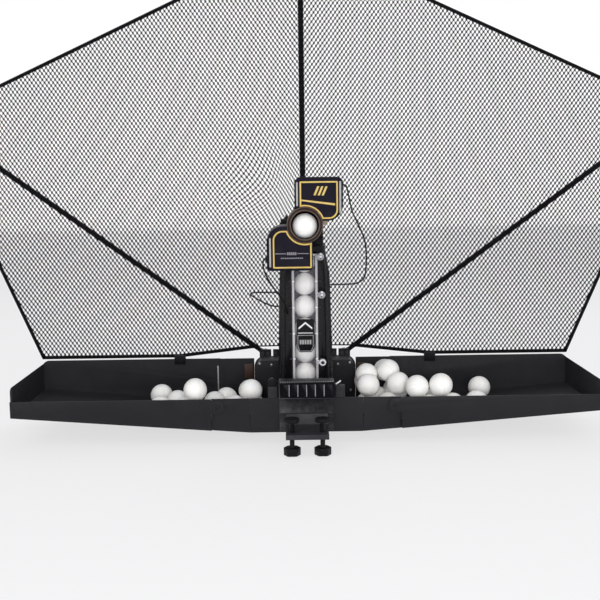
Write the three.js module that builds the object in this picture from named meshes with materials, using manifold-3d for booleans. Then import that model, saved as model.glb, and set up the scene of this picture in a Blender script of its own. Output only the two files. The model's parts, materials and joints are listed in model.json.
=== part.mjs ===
// A table tennis robot that hooks on the end of a table: a ball column with a two-wheel head,
// ball trays with folding wings, and a net on three rods.
// Millimetres. X to the right, Y away from the player, Z up.
// The origin is the middle of the hook's underside, on the table top.

import * as THREE from "three";
import { mergeVertices } from "three/addons/utils/BufferGeometryUtils.js";
import Module from "manifold-3d";

const wasm = await Module();
wasm.setup();

// Driving dimensions
const fit = 0.3;
const overrun = 2;
const wall = 3;
const thinWall = 2;
const ballRadius = 20;
const tableThickness = 25;
const pathHeight = 288.5;
const channelSetback = 95;
const swing = Math.PI / 2;
const weldShare = 0.001;

const hook = {
  width: 92, reach: 23, height: 28, plateDrop: 61,
  cells: 6, rib: 1.8, cellDepth: 4, lip: 3.5, topBand: 4, seatDepth: 1,
};
const trough = { front: 20, depth: 202, floor: -62, frontTop: -6, backTop: 24, riseShare: 0.077 };
const bin = { halfWidth: 96, backTop: 28, corner: 20 };
const block = { inner: 49, outer: 65, top: 14, depth: 16, corner: 3 };
const housing = { halfWidth: 92, corner: 18, wall: 2.5 };
const tray = { outer: 161, hingeInset: 11, hingeHeight: -20, earRadius: 12, pinRadius: 3 };
const wing = { length: 339, corner: 14 };
const clip = { centre: 237.5, width: 21, drop: 10, rise: 7, legThickness: 2.2 };

const column = {
  front: 24, depth: 84, belowPath: 52.5, roof: 6, base: 3, footHalfWidth: 48.5, shoulderHalfWidth: 44.3,
  topHalfWidth: 36.5, footHeight: 10, shoulderShare: 0.7924, topCurve: 1.5, recess: 12, ridgeInner: 36,
  ridgeRadius: 3, ridgeProud: 2, cheekStep: 5, backCorner: 6, steps: 8,
};
const channel = { radius: 21.5, wall: 2.5, lipSetback: 18.8 };
const cover = { halfWidth: 24, thickness: 2, bottom: -10, belowTop: 4 };
const rim = { inner: 18, thickness: 3, topBar: 4, tabReach: 4, tabHeight: 3,
  tabShares: [0.1992, 0.3898, 0.5847, 0.7797] };
const knob = { radius: 6.5, thickness: 6.7, shankRadius: 2.2, heightShares: [0.1737, 0.6801, 0.9619],
  faceShare: 0.7, gripShare: 0.14, tailShare: 2 };
const lowestBall = 16;

const feed = {
  setback: 38, height: -24, pockets: 5, width: 22, radius: 34, pocketRadius: 20.6, shaft: 3,
  motorRadius: 15, slotHalfWidth: 12.5, inletHeight: 42, sideGap: 2.4,
};
const socket = { centre: 60, height: 0, radius: 6, bore: 3, flange: 8.5, flangeThickness: 2, length: 9 };

const arm = { width: 70, reach: 60, drop: 48, thickness: 8, flange: 6, flangeRise: 18 };
const screw = { spread: 25, setback: 40, radius: 4, padRadius: 12, padThickness: 6, knobRadius: 14,
  knobDrop: 18, knobThickness: 12, lobes: 6, lobeDepth: 1.6 };

const netPlane = { setback: 2.7, thickness: 1 };
const rod = { radius: 5, length: 760, elevation: THREE.MathUtils.degToRad(36.2), pivotX: 75,
  pivotHeight: 30, eyeRadius: 9, pin: 4, centreLength: 770 };
const bracket = { inner: 49, outer: 86, bottom: 10, top: 40, thickness: 5, slotInner: 60.5, slotOuter: 64,
  slotBottom: 20, headRadius: 8, headThickness: 3, corners: [2, 2, 6, 3] };
const mast = { halfWidth: 12, top: 60, seat: 20 };
const net = { border: 12, pitchX: 74, pitchZ: 51, holeShare: 0.38, rodGap: 0.5, startRadius: 24,
  lowerBorder: 2, binBorder: 20 };

const turret = { radius: 37, height: 11, bore: 24.3 };
const elbow = { outer: 24, wall: 2.5, bend: 39, steps: 7 };
const yoke = { inner: 27.3, thickness: 4.7, eye: 12, footHalf: 18, shoulder: 20 };
const pin = { radius: 4, headRadius: 6, headLength: 8, headChamfer: 1, aheadOfElbow: 6 };
const drive = { rollerRadius: 6, shaft: 3, motorHalf: 16, motorDepth: 26, motorHeight: 44, motorAhead: 3 };

const head = { front: -48, back: 26, tubeEnd: 58, bore: 22, saddle: 28.7, tube: 25, faceThickness: 2,
  cheekInner: 24.5, cheekFront: 40, cheekHalf: 8, frameSetback: 4.3 };
const upper = { side: 1, near: 16, far: 60.5, low: 6, high: 75, bigCorner: 25, chamfer: 6 };
const lower = { side: -1, near: 12, far: 61, low: 1.5, high: 72, bigCorner: 25, chamfer: 3 };
const nozzle = { inner: 22.3, outer: 28, length: 8, chamfer: 3, lip: 23.3, clear: 29 };
const wheel = { radius: 25, width: 18, bite: 2, setback: -10, hubRecess: 4, axle: 3, dish: 1, rim: 20,
  clearance: 1 };
const motor = { radius: 16, start: 18, end: 57.5, boss: 6, bossLength: 2 };
const nozzleBallY = -34;

const cable = { radius: 1.3, glandRadius: 3.5, glandLength: 2.5, upperRise: 61.5, lowerDrop: 56.5,
  upperSteps: 36, lowerSteps: 22, loopSteps: 20 };
const entry = { upperDrop: 113.5, lowerDrop: 162.5, lowerX: 30, loopTopDrop: 127.5, loopBottomDrop: 152.5 };

// Places worked out from the driving dimensions
const tableEdge = hook.reach / 2;
const channelY = trough.front + channelSetback;
const troughBack = trough.front + trough.depth;
const columnFront = channelY - column.front;
const columnBack = columnFront + column.depth;
const columnTop = pathHeight - column.belowPath;
const shoulderHeight = columnTop * column.shoulderShare;
const coverTop = columnTop - cover.belowTop;
const ballPitch = ballRadius * 2 + fit;
const columnBalls = Math.floor((columnTop - lowestBall) / ballPitch) + 1;
const footBottom = trough.floor + fit;
const lipY = channelY - channel.lipSetback;
const coverBack = lipY - fit;
const coverFront = coverBack - cover.thickness;
const rimBack = coverFront - fit;
const rimFront = rimBack - rim.thickness;
const feedY = channelY + feed.setback;
const wingFront = trough.front - wall - fit;
const wingBack = troughBack + wall + fit;
const netFront = wingBack + netPlane.setback;
const netBack = netFront + netPlane.thickness;
const rodY = netBack + fit + rod.radius;
const hingeX = tray.outer - tray.hingeInset;
const elbowTop = pathHeight - elbow.bend;
const tiltY = channelY - elbow.bend - pin.aheadOfElbow;
const turretBottom = columnTop + fit;
const wheelOffset = ballRadius - wheel.bite + wheel.radius;
const frameFront = head.front + head.frameSetback;

// Solids and booleans

function solidOf(geometry) {
  const bare = geometry.clone();
  bare.deleteAttribute("normal");
  bare.deleteAttribute("uv");
  const merged = mergeVertices(bare, fit * weldShare);
  const mesh = new wasm.Mesh({
    numProp: 3,
    vertProperties: new Float32Array(merged.attributes.position.array),
    triVerts: new Uint32Array(merged.index.array),
  });
  mesh.merge();
  return new wasm.Manifold(mesh);
}

function geometryOf(solid) {
  const mesh = solid.getMesh();
  const geometry = new THREE.BufferGeometry();
  geometry.setAttribute("position", new THREE.BufferAttribute(mesh.vertProperties, 3));
  geometry.setIndex(new THREE.BufferAttribute(mesh.triVerts, 1));
  geometry.computeVertexNormals();
  return geometry;
}

function carve(base, joins, cuts = []) {
  let solid = solidOf(base);
  for (const piece of joins) solid = solid.add(solidOf(piece));
  for (const piece of cuts) solid = solid.subtract(solidOf(piece));
  return geometryOf(solid);
}

function common(first, second) {
  return geometryOf(solidOf(first).intersect(solidOf(second)));
}

// Shapes placed in the part's own frame

function box(x0, x1, y0, y1, z0, z1) {
  const geometry = new THREE.BoxGeometry(Math.abs(x1 - x0), Math.abs(y1 - y0), Math.abs(z1 - z0));
  return geometry.translate((x0 + x1) / 2, (y0 + y1) / 2, (z0 + z1) / 2);
}

const unitX = new THREE.Vector3(1, 0, 0);
const unitY = new THREE.Vector3(0, 1, 0);
const unitZ = new THREE.Vector3(0, 0, 1);

// Turns a shape drawn in its own plane so that it is pushed along one axis, from one place to another
function prism(shape, along, from, to, steps = 1, curveSegments = 10) {
  const depth = to - from;
  const geometry = new THREE.ExtrudeGeometry(shape, { depth, steps, curveSegments, bevelEnabled: false });
  const frame = new THREE.Matrix4();
  if (along === "x") frame.makeBasis(unitY, unitZ, unitX).setPosition(from, 0, 0);
  if (along === "y") frame.makeBasis(unitX, unitZ, unitY.clone().negate()).setPosition(0, to, 0);
  if (along === "z") frame.makeBasis(unitX, unitY, unitZ).setPosition(0, 0, from);
  return geometry.applyMatrix4(frame);
}

// A round bar along one axis, about a centre given by its other two places
function bar(along, radius, from, to, first, second, sides = 20) {
  const geometry = new THREE.CylinderGeometry(radius, radius, to - from, sides);
  const middle = (from + to) / 2;
  if (along === "x") geometry.rotateZ(-swing).translate(middle, first, second);
  if (along === "y") geometry.translate(first, middle, second);
  if (along === "z") geometry.rotateX(swing).translate(first, second, middle);
  return geometry;
}

// A turned piece: the profile gives radius and place along the axis
function turned(along, profile, first, second, sides = 32) {
  const points = profile.map(([radius, place]) => new THREE.Vector2(radius, place));
  if (THREE.ShapeUtils.area(points) < 0) points.reverse();
  const geometry = new THREE.LatheGeometry(points, sides);
  if (along === "x") geometry.rotateZ(-swing).translate(0, first, second);
  if (along === "y") geometry.translate(first, 0, second);
  if (along === "z") geometry.rotateX(swing).translate(first, second, 0);
  return geometry;
}

function outline(points) {
  return new THREE.Shape(points.map(([u, v]) => new THREE.Vector2(u, v)));
}

function roundedOutline(u0, u1, v0, v1, radii) {
  const [bottomLeft, bottomRight, topRight, topLeft] = radii;
  const shape = new THREE.Shape();
  shape.moveTo(u0 + bottomLeft, v0);
  shape.lineTo(u1 - bottomRight, v0);
  if (bottomRight > 0) shape.absarc(u1 - bottomRight, v0 + bottomRight, bottomRight, -swing, 0);
  shape.lineTo(u1, v1 - topRight);
  if (topRight > 0) shape.absarc(u1 - topRight, v1 - topRight, topRight, 0, swing);
  shape.lineTo(u0 + topLeft, v1);
  if (topLeft > 0) shape.absarc(u0 + topLeft, v1 - topLeft, topLeft, swing, 2 * swing);
  shape.lineTo(u0, v0 + bottomLeft);
  if (bottomLeft > 0) shape.absarc(u0 + bottomLeft, v0 + bottomLeft, bottomLeft, 2 * swing, 3 * swing);
  return shape;
}

// The same piece on the other side of the middle
function mirrored(geometry) {
  const copy = geometry.clone().scale(-1, 1, 1);
  const source = copy.index ? copy : mergeVertices(copy);
  const order = Array.from(source.index.array);
  for (let i = 0; i < order.length; i += 3) [order[i], order[i + 1]] = [order[i + 1], order[i]];
  source.setIndex(order);
  return source;
}

function sided(geometry, side) {
  return side > 0 ? geometry : mirrored(geometry);
}

// Finishes

const finish = (color, roughness, metalness = 0, opacity = 1) =>
  new THREE.MeshStandardMaterial({ color, roughness, metalness, opacity, transparent: opacity < 1 });

const looks = {
  blackPlastic: finish(0x17171a, 0.45),
  charcoal: finish(0x2a2b30, 0.6),
  glossNavy: finish(0x141625, 0.15),
  darkGrey: finish(0x4a4c52, 0.5),
  clear: finish(0xe6eaee, 0.08, 0, 0.3),
  paleGrey: finish(0xc4c6c8, 0.45),
  bronze: finish(0x33241d, 0.3, 0.4),
  motorCase: finish(0x8f9398, 0.35, 0.9),
  rubber: finish(0x232323, 0.85),
  tyre: finish(0x8c2f22, 0.8),
  netCloth: finish(0x0d0d0f, 0.95),
  celluloid: finish(0xf4f2ea, 0.35),
  beige: finish(0xcdb99a, 0.5),
};

const robot = new THREE.Group();

function place(name, geometry, material) {
  const mesh = new THREE.Mesh(geometry, material);
  mesh.name = name;
  robot.add(mesh);
}

const sides = [["left", -1], ["right", 1]];

// Table hook and clamp

function makeHook() {
  const half = hook.width / 2;
  const plateFront = tableEdge + fit;
  const plateBack = trough.front - fit;
  const seatFront = plateFront + hook.seatDepth;
  const seatTop = arm.flangeRise - arm.drop + fit;
  const profile = outline([
    [-tableEdge, 0], [plateFront, 0], [plateFront, seatTop], [seatFront, seatTop],
    [seatFront, -hook.plateDrop], [plateBack, -hook.plateDrop], [plateBack, hook.height],
    [-tableEdge, hook.height],
  ]);
  const cellWidth = (hook.width - hook.lip * 2 - hook.rib * (hook.cells - 1)) / hook.cells;
  const cells = [];
  for (let i = 0; i < hook.cells; i++) {
    const left = -half + hook.lip + i * (cellWidth + hook.rib);
    cells.push(box(left, left + cellWidth, -tableEdge - overrun, -tableEdge + hook.cellDepth,
      hook.lip, hook.height - hook.topBand));
  }
  place("table_hook", carve(prism(profile, "x", -half, half), [], cells), looks.blackPlastic);
}

function makeClamp() {
  const armTop = -arm.drop;
  const armBottom = armTop - arm.thickness;
  const flangeBack = tableEdge + hook.seatDepth;
  const profile = outline([
    [-arm.reach, armBottom], [flangeBack, armBottom], [flangeBack, armTop + arm.flangeRise],
    [tableEdge - arm.flange, armTop + arm.flangeRise], [tableEdge - arm.flange, armTop],
    [-arm.reach, armTop],
  ]);
  const holes = sides.map(([, side]) =>
    bar("z", screw.radius + fit, armBottom - overrun, armTop + overrun, side * screw.spread, -screw.setback));
  place("clamp_arm", carve(prism(profile, "x", -arm.width / 2, arm.width / 2), [], holes), looks.darkGrey);

  const padTop = -tableThickness - fit;
  const padBottom = padTop - screw.padThickness;
  const knobTop = armBottom - screw.knobDrop;
  for (const [name, side] of sides) {
    const grip = new THREE.Shape();
    const points = [];
    const count = screw.lobes * 4;
    for (let i = 0; i < count; i++) {
      const angle = (i / count) * 4 * swing;
      const reach = screw.knobRadius - screw.lobeDepth * (1 - Math.cos(angle * screw.lobes)) / 2;
      points.push(new THREE.Vector2(side * screw.spread + reach * Math.cos(angle),
        -screw.setback + reach * Math.sin(angle)));
    }
    grip.setFromPoints(points);
    const base = prism(grip, "z", knobTop - screw.knobThickness, knobTop);
    const shank = bar("z", screw.radius, knobTop - overrun, padBottom + overrun,
      side * screw.spread, -screw.setback);
    const pad = bar("z", screw.padRadius, padBottom, padTop, side * screw.spread, -screw.setback);
    place(`clamp_screw_${name}`, carve(base, [shank, pad]), looks.blackPlastic);
  }
}

function makeHookBlocks() {
  for (const [name, side] of sides) {
    const shape = roundedOutline(trough.front, trough.front + block.depth, trough.frontTop + fit, block.top,
      [0, 0, block.corner, block.corner]);
    const solid = prism(shape, "x", block.inner, block.outer);
    place(`hook_block_${name}`, sided(solid, side), looks.darkGrey);
  }
}

// Ball trough: bin, feed housing, trays and wings

function floorAt(x) {
  return trough.floor + (Math.abs(x) - bin.halfWidth) * trough.riseShare;
}

function makeBin() {
  const half = bin.halfWidth;
  const bottom = trough.floor - wall;
  const floor = box(-half, half, trough.front, troughBack, bottom, trough.floor);
  const front = box(-half, half, trough.front, trough.front + wall, bottom, trough.frontTop);
  const backShape = roundedOutline(-half, half, bottom, bin.backTop, [0, 0, bin.corner, bin.corner]);
  const back = prism(backShape, "y", troughBack - wall, troughBack);
  const inlet = bar("y", socket.radius + fit, troughBack - wall - overrun, troughBack + overrun,
    socket.centre, socket.height);
  place("base_bin", carve(floor, [front, back], [inlet]), looks.charcoal);
}

function makeFeedHousing() {
  const back = troughBack - wall - fit;
  const front = columnBack + fit;
  const radii = [0, 0, housing.corner, housing.corner];
  const shell = prism(roundedOutline(-housing.halfWidth, housing.halfWidth, footBottom, bin.backTop, radii),
    "y", front, back);
  const inner = housing.halfWidth - housing.wall;
  const innerCorner = housing.corner - housing.wall;
  const cavity = prism(
    roundedOutline(-inner, inner, footBottom + housing.wall, bin.backTop - housing.wall,
      [0, 0, innerCorner, innerCorner]),
    "y", front + housing.wall, back + overrun);
  place("feed_housing", carve(shell, [], [cavity, feedSlot()]), looks.blackPlastic);

  const body = bar("y", socket.radius, back - socket.length, troughBack + overrun,
    socket.centre, socket.height);
  const flange = bar("y", socket.flange, troughBack + fit, troughBack + fit + socket.flangeThickness,
    socket.centre, socket.height);
  const bore = bar("y", socket.bore, back, troughBack + overrun * 2, socket.centre, socket.height);
  place("power_socket", carve(body, [flange], [bore]), looks.blackPlastic);
}

function troughShape(x0, x1, sink, top) {
  return outline([[x0, floorAt(x0) - sink], [x1, floorAt(x1) - sink], [x1, top], [x0, top]]);
}

function makeTrays() {
  for (const [name, side] of sides) {
    const start = bin.halfWidth + fit;
    const end = tray.outer;
    const body = prism(troughShape(start, end, wall, trough.backTop), "y", trough.front, troughBack);
    const hollow = prism(troughShape(start - overrun, end + overrun, 0, trough.backTop + overrun), "y",
      trough.front + wall, troughBack - wall);
    const low = box(start - overrun, end + overrun, trough.front - overrun, trough.front + wall + overrun,
      trough.frontTop, trough.backTop + overrun);
    const pins = [
      bar("y", tray.pinRadius, wingFront, trough.front + wall / 2, hingeX, tray.hingeHeight),
      bar("y", tray.pinRadius, troughBack - wall / 2, wingBack, hingeX, tray.hingeHeight),
    ];
    const solid = carve(carve(body, [], [hollow, low]), pins);
    place(`tray_${name}`, sided(solid, side), looks.charcoal);
  }
}

function makeWings() {
  for (const [name, side] of sides) {
    const start = tray.outer + fit;
    const end = start + wing.length;
    const body = prism(troughShape(start, end, wall, trough.backTop), "y", wingFront, wingBack);
    const hollow = prism(troughShape(start - overrun, end - wall, 0, trough.backTop + overrun), "y",
      wingFront + wall, wingBack - wall);
    const low = box(start - overrun, end + overrun, wingFront - overrun, wingFront + wall + overrun,
      trough.frontTop, trough.backTop + overrun);
    const keep = prism(
      roundedOutline(start - overrun, end, floorAt(start) - wall * 2, trough.backTop, [0, 0, wing.corner, 0]),
      "y", wingFront - overrun, wingBack + overrun);
    const ears = [];
    const holes = [];
    for (const from of [wingFront, wingBack - wall]) {
      ears.push(bar("y", tray.earRadius, from, from + wall, hingeX, tray.hingeHeight, 32));
      ears.push(box(hingeX, start + overrun, from, from + wall, tray.hingeHeight - tray.earRadius,
        tray.hingeHeight + tray.earRadius));
      holes.push(bar("y", tray.pinRadius + fit, from - overrun, from + wall + overrun, hingeX, tray.hingeHeight));
    }
    const trimmed = common(carve(body, [], [hollow, low]), keep);
    place(`wing_${name}`, sided(carve(trimmed, ears, holes), side), looks.charcoal);

    const clipLeft = clip.centre - clip.width / 2;
    const clipRight = clip.centre + clip.width / 2;
    const clipFront = wingBack - wall - fit - clip.legThickness;
    const clipBack = netFront - fit;
    const outer = box(clipLeft, clipRight, clipFront, clipBack, trough.backTop - clip.drop,
      trough.backTop + clip.rise);
    const slot = box(clipLeft - overrun, clipRight + overrun, wingBack - wall - fit, wingBack + fit,
      trough.backTop - clip.drop - overrun, trough.backTop + fit);
    place(`net_clip_${name}`, sided(carve(outer, [], [slot]), side), looks.blackPlastic);
  }
}

// Ball column

function columnHalfWidth(z) {
  if (z <= column.footHeight) return column.footHalfWidth;
  if (z <= shoulderHeight) {
    const share = (z - column.footHeight) / (shoulderHeight - column.footHeight);
    return THREE.MathUtils.lerp(column.footHalfWidth, column.shoulderHalfWidth, share);
  }
  const share = (z - shoulderHeight) / (columnTop - shoulderHeight);
  return THREE.MathUtils.lerp(column.shoulderHalfWidth, column.topHalfWidth, share ** column.topCurve);
}

// Draws everything beyond the channel in or out, so that the column's sides follow its width
function tapered(geometry) {
  const channelHalf = channel.radius + channel.wall;
  const places = geometry.attributes.position;
  for (let i = 0; i < places.count; i++) {
    const x = places.getX(i);
    const beyond = Math.abs(x) - channelHalf;
    if (beyond <= 0) continue;
    const share = (columnHalfWidth(places.getZ(i)) - channelHalf) / (column.footHalfWidth - channelHalf);
    places.setX(i, Math.sign(x) * (channelHalf + beyond * share));
  }
  return geometry;
}

function mirroredOutline(half) {
  const shape = new THREE.Shape();
  const left = half.filter(([x]) => x > 0).map(([x, y]) => [-x, y]).reverse();
  shape.setFromPoints([...half, ...left].map(([x, y]) => new THREE.Vector2(x, y)));
  return shape;
}

function arcPoints(cx, cy, radius, from, to, count) {
  const points = [];
  for (let i = 0; i <= count; i++) {
    const angle = from + ((to - from) * i) / count;
    points.push([cx + radius * Math.cos(angle), cy + radius * Math.sin(angle)]);
  }
  return points;
}

function makeColumn() {
  const outerChannel = channel.radius + channel.wall;
  const recessY = columnFront + column.recess - column.ridgeProud;
  const ridgeCentre = column.ridgeInner + column.ridgeRadius;
  const ridgeY = columnFront + column.ridgeRadius - column.ridgeProud;
  const cheekX = ridgeCentre + column.ridgeRadius + column.cheekStep / 2;
  const plan = [
    ...arcPoints(0, channelY, channel.radius, swing, 0, 8),
    [channel.radius, lipY], [outerChannel, lipY], [outerChannel, recessY], [column.ridgeInner, recessY],
    ...arcPoints(ridgeCentre, ridgeY, column.ridgeRadius, 2 * swing, 4 * swing, 6),
    [cheekX - column.cheekStep / 2, columnFront + column.cheekStep],
    [cheekX, columnFront + column.cheekStep],
    [column.footHalfWidth, columnFront + column.cheekStep * 2],
    [column.footHalfWidth, columnBack - column.backCorner],
    [column.footHalfWidth - column.backCorner, columnBack],
    [0, columnBack],
  ];
  const shell = tapered(prism(mirroredOutline(plan), "z", footBottom, columnTop, column.steps));

  const innerHalf = column.footHalfWidth - wall;
  const cavityPlan = [
    ...arcPoints(0, channelY, outerChannel, swing, 0, 8),
    [outerChannel, recessY + wall], [innerHalf, recessY + wall], [innerHalf, columnBack + overrun],
    [0, columnBack + overrun],
  ];
  const cavityShape = mirroredOutline(cavityPlan);
  const cavity = tapered(
    prism(cavityShape, "z", footBottom + column.base, columnTop - column.roof, column.steps));

  const inletBottom = footBottom + column.base;
  const inlet = box(-column.footHalfWidth - overrun, column.footHalfWidth + overrun, lipY - overrun / 2,
    lipY - overrun / 2 + feed.inletHeight, inletBottom, inletBottom + feed.inletHeight);
  const rollerHole = bar("z", drive.shaft + fit, columnTop - column.roof - overrun, columnTop + overrun,
    0, rollerY);
  const knobHeights = knob.heightShares.map((share) => share * columnTop);
  const knobHoles = knobHeights.map((z) =>
    bar("y", knob.shankRadius + fit, recessY - overrun, recessY + wall * 3, knobX(z), z, 12));
  const cuts = [cavity, inlet, feedSlot(), rollerHole, ...knobHoles];
  place("column_shell", carve(shell, [], cuts), looks.blackPlastic);

  const plateHalf = innerHalf - fit;
  const plate = tapered(prism(
    outline([[-plateHalf, columnBack - wall], [plateHalf, columnBack - wall], [plateHalf, columnBack],
      [-plateHalf, columnBack]]),
    "z", footBottom + column.base + fit, columnTop - column.roof - fit, column.steps));
  place("column_back", carve(plate, [], [feedSlot()]), looks.charcoal);

  for (const [i, share] of knob.heightShares.entries()) {
    const z = share * columnTop;
    const front = Math.min(rimFront, columnFront - column.ridgeProud) - fit - knob.thickness;
    const profile = [
      [0, front], [knob.radius * knob.faceShare, front], [knob.radius, front + knob.thickness / 3],
      [knob.radius, front + knob.thickness], [knob.shankRadius, front + knob.thickness],
      [knob.shankRadius, recessY + wall * knob.tailShare], [0, recessY + wall * knob.tailShare],
    ];
    const gripHalf = knob.radius * knob.gripShare;
    const grip = box(knobX(z) - gripHalf, knobX(z) + gripHalf, front - overrun,
      front + knob.thickness / 4, z - knob.radius, z + knob.radius);
    const solid = carve(turned("y", profile, knobX(z), z, 20), [], [grip]);
    place(`cover_knob_${["bottom", "middle", "top"][i]}`, solid, looks.paleGrey);
  }
}

// The knobs stand in the recess between the channel and the right ridge
function knobX(z) {
  const channelHalf = channel.radius + channel.wall;
  const share = (columnHalfWidth(z) - channelHalf) / (column.footHalfWidth - channelHalf);
  return channelHalf + ((column.ridgeInner - channelHalf) * share) / 2;
}

function makeCover() {
  const round = cover.thickness / 2;
  const shape = roundedOutline(-cover.halfWidth, cover.halfWidth, coverFront, coverBack,
    [round, round, 0, 0]);
  place("channel_cover", prism(shape, "z", cover.bottom, coverTop, 1, 3), looks.clear);

  const strips = sides.map(([, side]) => box(side * rim.inner, side * cover.halfWidth, rimFront, rimBack,
    cover.bottom, coverTop));
  const bridge = box(-cover.halfWidth, cover.halfWidth, rimFront, rimBack, coverTop - rim.topBar, coverTop);
  const tabs = [];
  for (const share of rim.tabShares) {
    const z = share * columnTop;
    for (const [, side] of sides) {
      tabs.push(box(side * (rim.inner + rim.tabReach / 2), side * (cover.halfWidth + rim.tabReach),
        rimFront, rimBack, z - rim.tabHeight / 2, z + rim.tabHeight / 2));
    }
  }
  place("channel_rim", carve(bridge, [...strips, ...tabs]), looks.paleGrey);
}

function makeBalls() {
  const seatY = channelY + channel.radius - ballRadius - fit;
  for (let i = 0; i < columnBalls; i++) {
    const ball = new THREE.SphereGeometry(ballRadius, 14, 8).rotateX(swing);
    place(`column_ball_${i + 1}`, ball.translate(0, seatY, lowestBall + i * ballPitch), looks.celluloid);
  }
  const seat = pathHeight - (head.bore - ballRadius - fit);
  const ball = new THREE.SphereGeometry(ballRadius, 14, 8).rotateX(swing);
  place("nozzle_ball", ball.translate(0, nozzleBallY, seat), looks.celluloid);
}

// Ball feed at the column's foot

// The slot that the feed wheel turns in, through the channel, the column's back and the feed housing
function feedSlot() {
  return box(-feed.slotHalfWidth, feed.slotHalfWidth, channelY + channel.radius / 2,
    feedY + feed.radius + overrun, footBottom + column.base, feed.height + feed.radius + overrun);
}

function makeFeed() {
  const half = feed.width / 2;
  const star = bar("x", feed.radius, -half, half, feedY, feed.height, 40);
  const pockets = [];
  for (let i = 0; i < feed.pockets; i++) {
    const angle = 2 * swing + (i / feed.pockets) * 4 * swing;
    const y = feedY + feed.setback * Math.cos(angle);
    const z = feed.height + feed.setback * Math.sin(angle);
    pockets.push(bar("x", feed.pocketRadius, -half - overrun, half + overrun, y, z, 32));
  }
  const innerWall = column.footHalfWidth - wall;
  const shaft = bar("x", feed.shaft, -half - feed.sideGap, innerWall - fit, feedY, feed.height);
  place("feed_wheel", geometryOf(solidOf(carve(star, [], pockets)).add(solidOf(shaft))), looks.paleGrey);

  const motorEnd = -half - feed.sideGap - fit;
  const can = bar("x", feed.motorRadius, -innerWall + fit, motorEnd, feedY, feed.height, 28);
  place("feed_motor", can, looks.motorCase);
}

// Net rods, brackets and net

function makeRods() {
  const eyeFront = rodY - rod.radius;
  const eyeBack = rodY + rod.radius;
  for (const [name, side] of sides) {
    const eye = bar("y", rod.eyeRadius, eyeFront, eyeBack, rod.pivotX, rod.pivotHeight, 28);
    const tube = new THREE.CylinderGeometry(rod.radius, rod.radius, rod.length - rod.eyeRadius / 2, 16);
    tube.translate(0, (rod.length + rod.eyeRadius / 2) / 2, 0);
    tube.rotateX(swing).rotateY(swing - rod.elevation).translate(rod.pivotX, rodY, rod.pivotHeight);
    const hole = bar("y", rod.pin + fit, eyeFront - overrun, eyeBack + overrun, rod.pivotX, rod.pivotHeight);
    place(`net_rod_${name}`, sided(carve(eye, [tube], [hole]), side), looks.rubber);

    const plateBack = troughBack + fit + bracket.thickness;
    const plate = prism(
      roundedOutline(bracket.inner, bracket.outer, bracket.bottom, bracket.top, bracket.corners),
      "y", troughBack + fit, plateBack);
    const gap = box(bracket.slotInner, bracket.slotOuter, troughBack - overrun, plateBack + overrun,
      bracket.slotBottom, bracket.top + overrun);
    const post = bar("y", rod.pin, plateBack - overrun, eyeBack + fit + overrun, rod.pivotX, rod.pivotHeight);
    const washer = bar("y", bracket.headRadius, eyeBack + fit, eyeBack + fit + bracket.headThickness,
      rod.pivotX, rod.pivotHeight);
    place(`rod_bracket_${name}`, sided(carve(plate, [post, washer], [gap]), side), looks.blackPlastic);
  }

  const mastBlock = box(-mast.halfWidth, mast.halfWidth, troughBack + fit, eyeBack + wall,
    bracket.bottom, mast.top);
  const bore = bar("z", rod.radius + fit, mast.seat, mast.top + overrun, 0, rodY);
  place("rod_socket_centre", carve(mastBlock, [], [bore]), looks.blackPlastic);
  const centreRod = bar("z", rod.radius, mast.seat + fit, mast.seat + fit + rod.centreLength, 0, rodY, 16);
  place("net_rod_centre", centreRod, looks.rubber);
}

function alongRod(distance, offset) {
  const c = Math.cos(rod.elevation);
  const s = Math.sin(rod.elevation);
  return [rod.pivotX + distance * c - offset * s, rod.pivotHeight + distance * s + offset * c];
}

// Distance from a point to the inside of a closed outline, negative outside it
function depthInside(point, points) {
  let inside = false;
  let nearest = Infinity;
  for (let i = 0; i < points.length; i++) {
    const [ax, az] = points[i];
    const [bx, bz] = points[(i + 1) % points.length];
    const lengthSquared = (bx - ax) ** 2 + (bz - az) ** 2;
    const share = THREE.MathUtils.clamp(
      ((point[0] - ax) * (bx - ax) + (point[1] - az) * (bz - az)) / lengthSquared, 0, 1);
    const away = Math.hypot(ax + share * (bx - ax) - point[0], az + share * (bz - az) - point[1]);
    nearest = Math.min(nearest, away);
    if (az > point[1] !== bz > point[1] &&
      point[0] < ax + ((bx - ax) * (point[1] - az)) / (bz - az)) inside = !inside;
  }
  return inside ? nearest : -nearest;
}

function netPanel(points) {
  const shape = outline(points);
  const halfX = net.pitchX * net.holeShare;
  const halfZ = net.pitchZ * 2 * net.holeShare;
  const columns = Math.ceil((rod.pivotX + rod.length) / net.pitchX);
  const rows = Math.ceil((mast.seat + rod.centreLength) / net.pitchZ);
  let gaps = 0;
  for (let row = 0; row <= rows; row++) {
    for (let column = 0; column <= columns; column++) {
      const x = (column + (row % 2) / 2) * net.pitchX;
      const z = row * net.pitchZ;
      const corners = [[x + halfX, z], [x, z + halfZ], [x - halfX, z], [x, z - halfZ]];
      if (corners.some((corner) => depthInside(corner, points) < net.border)) continue;
      shape.holes.push(new THREE.Path(corners.map(([u, v]) => new THREE.Vector2(u, v))));
      gaps += 1;
    }
  }
  return { geometry: prism(shape, "y", netFront, netBack), gaps };
}

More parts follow.
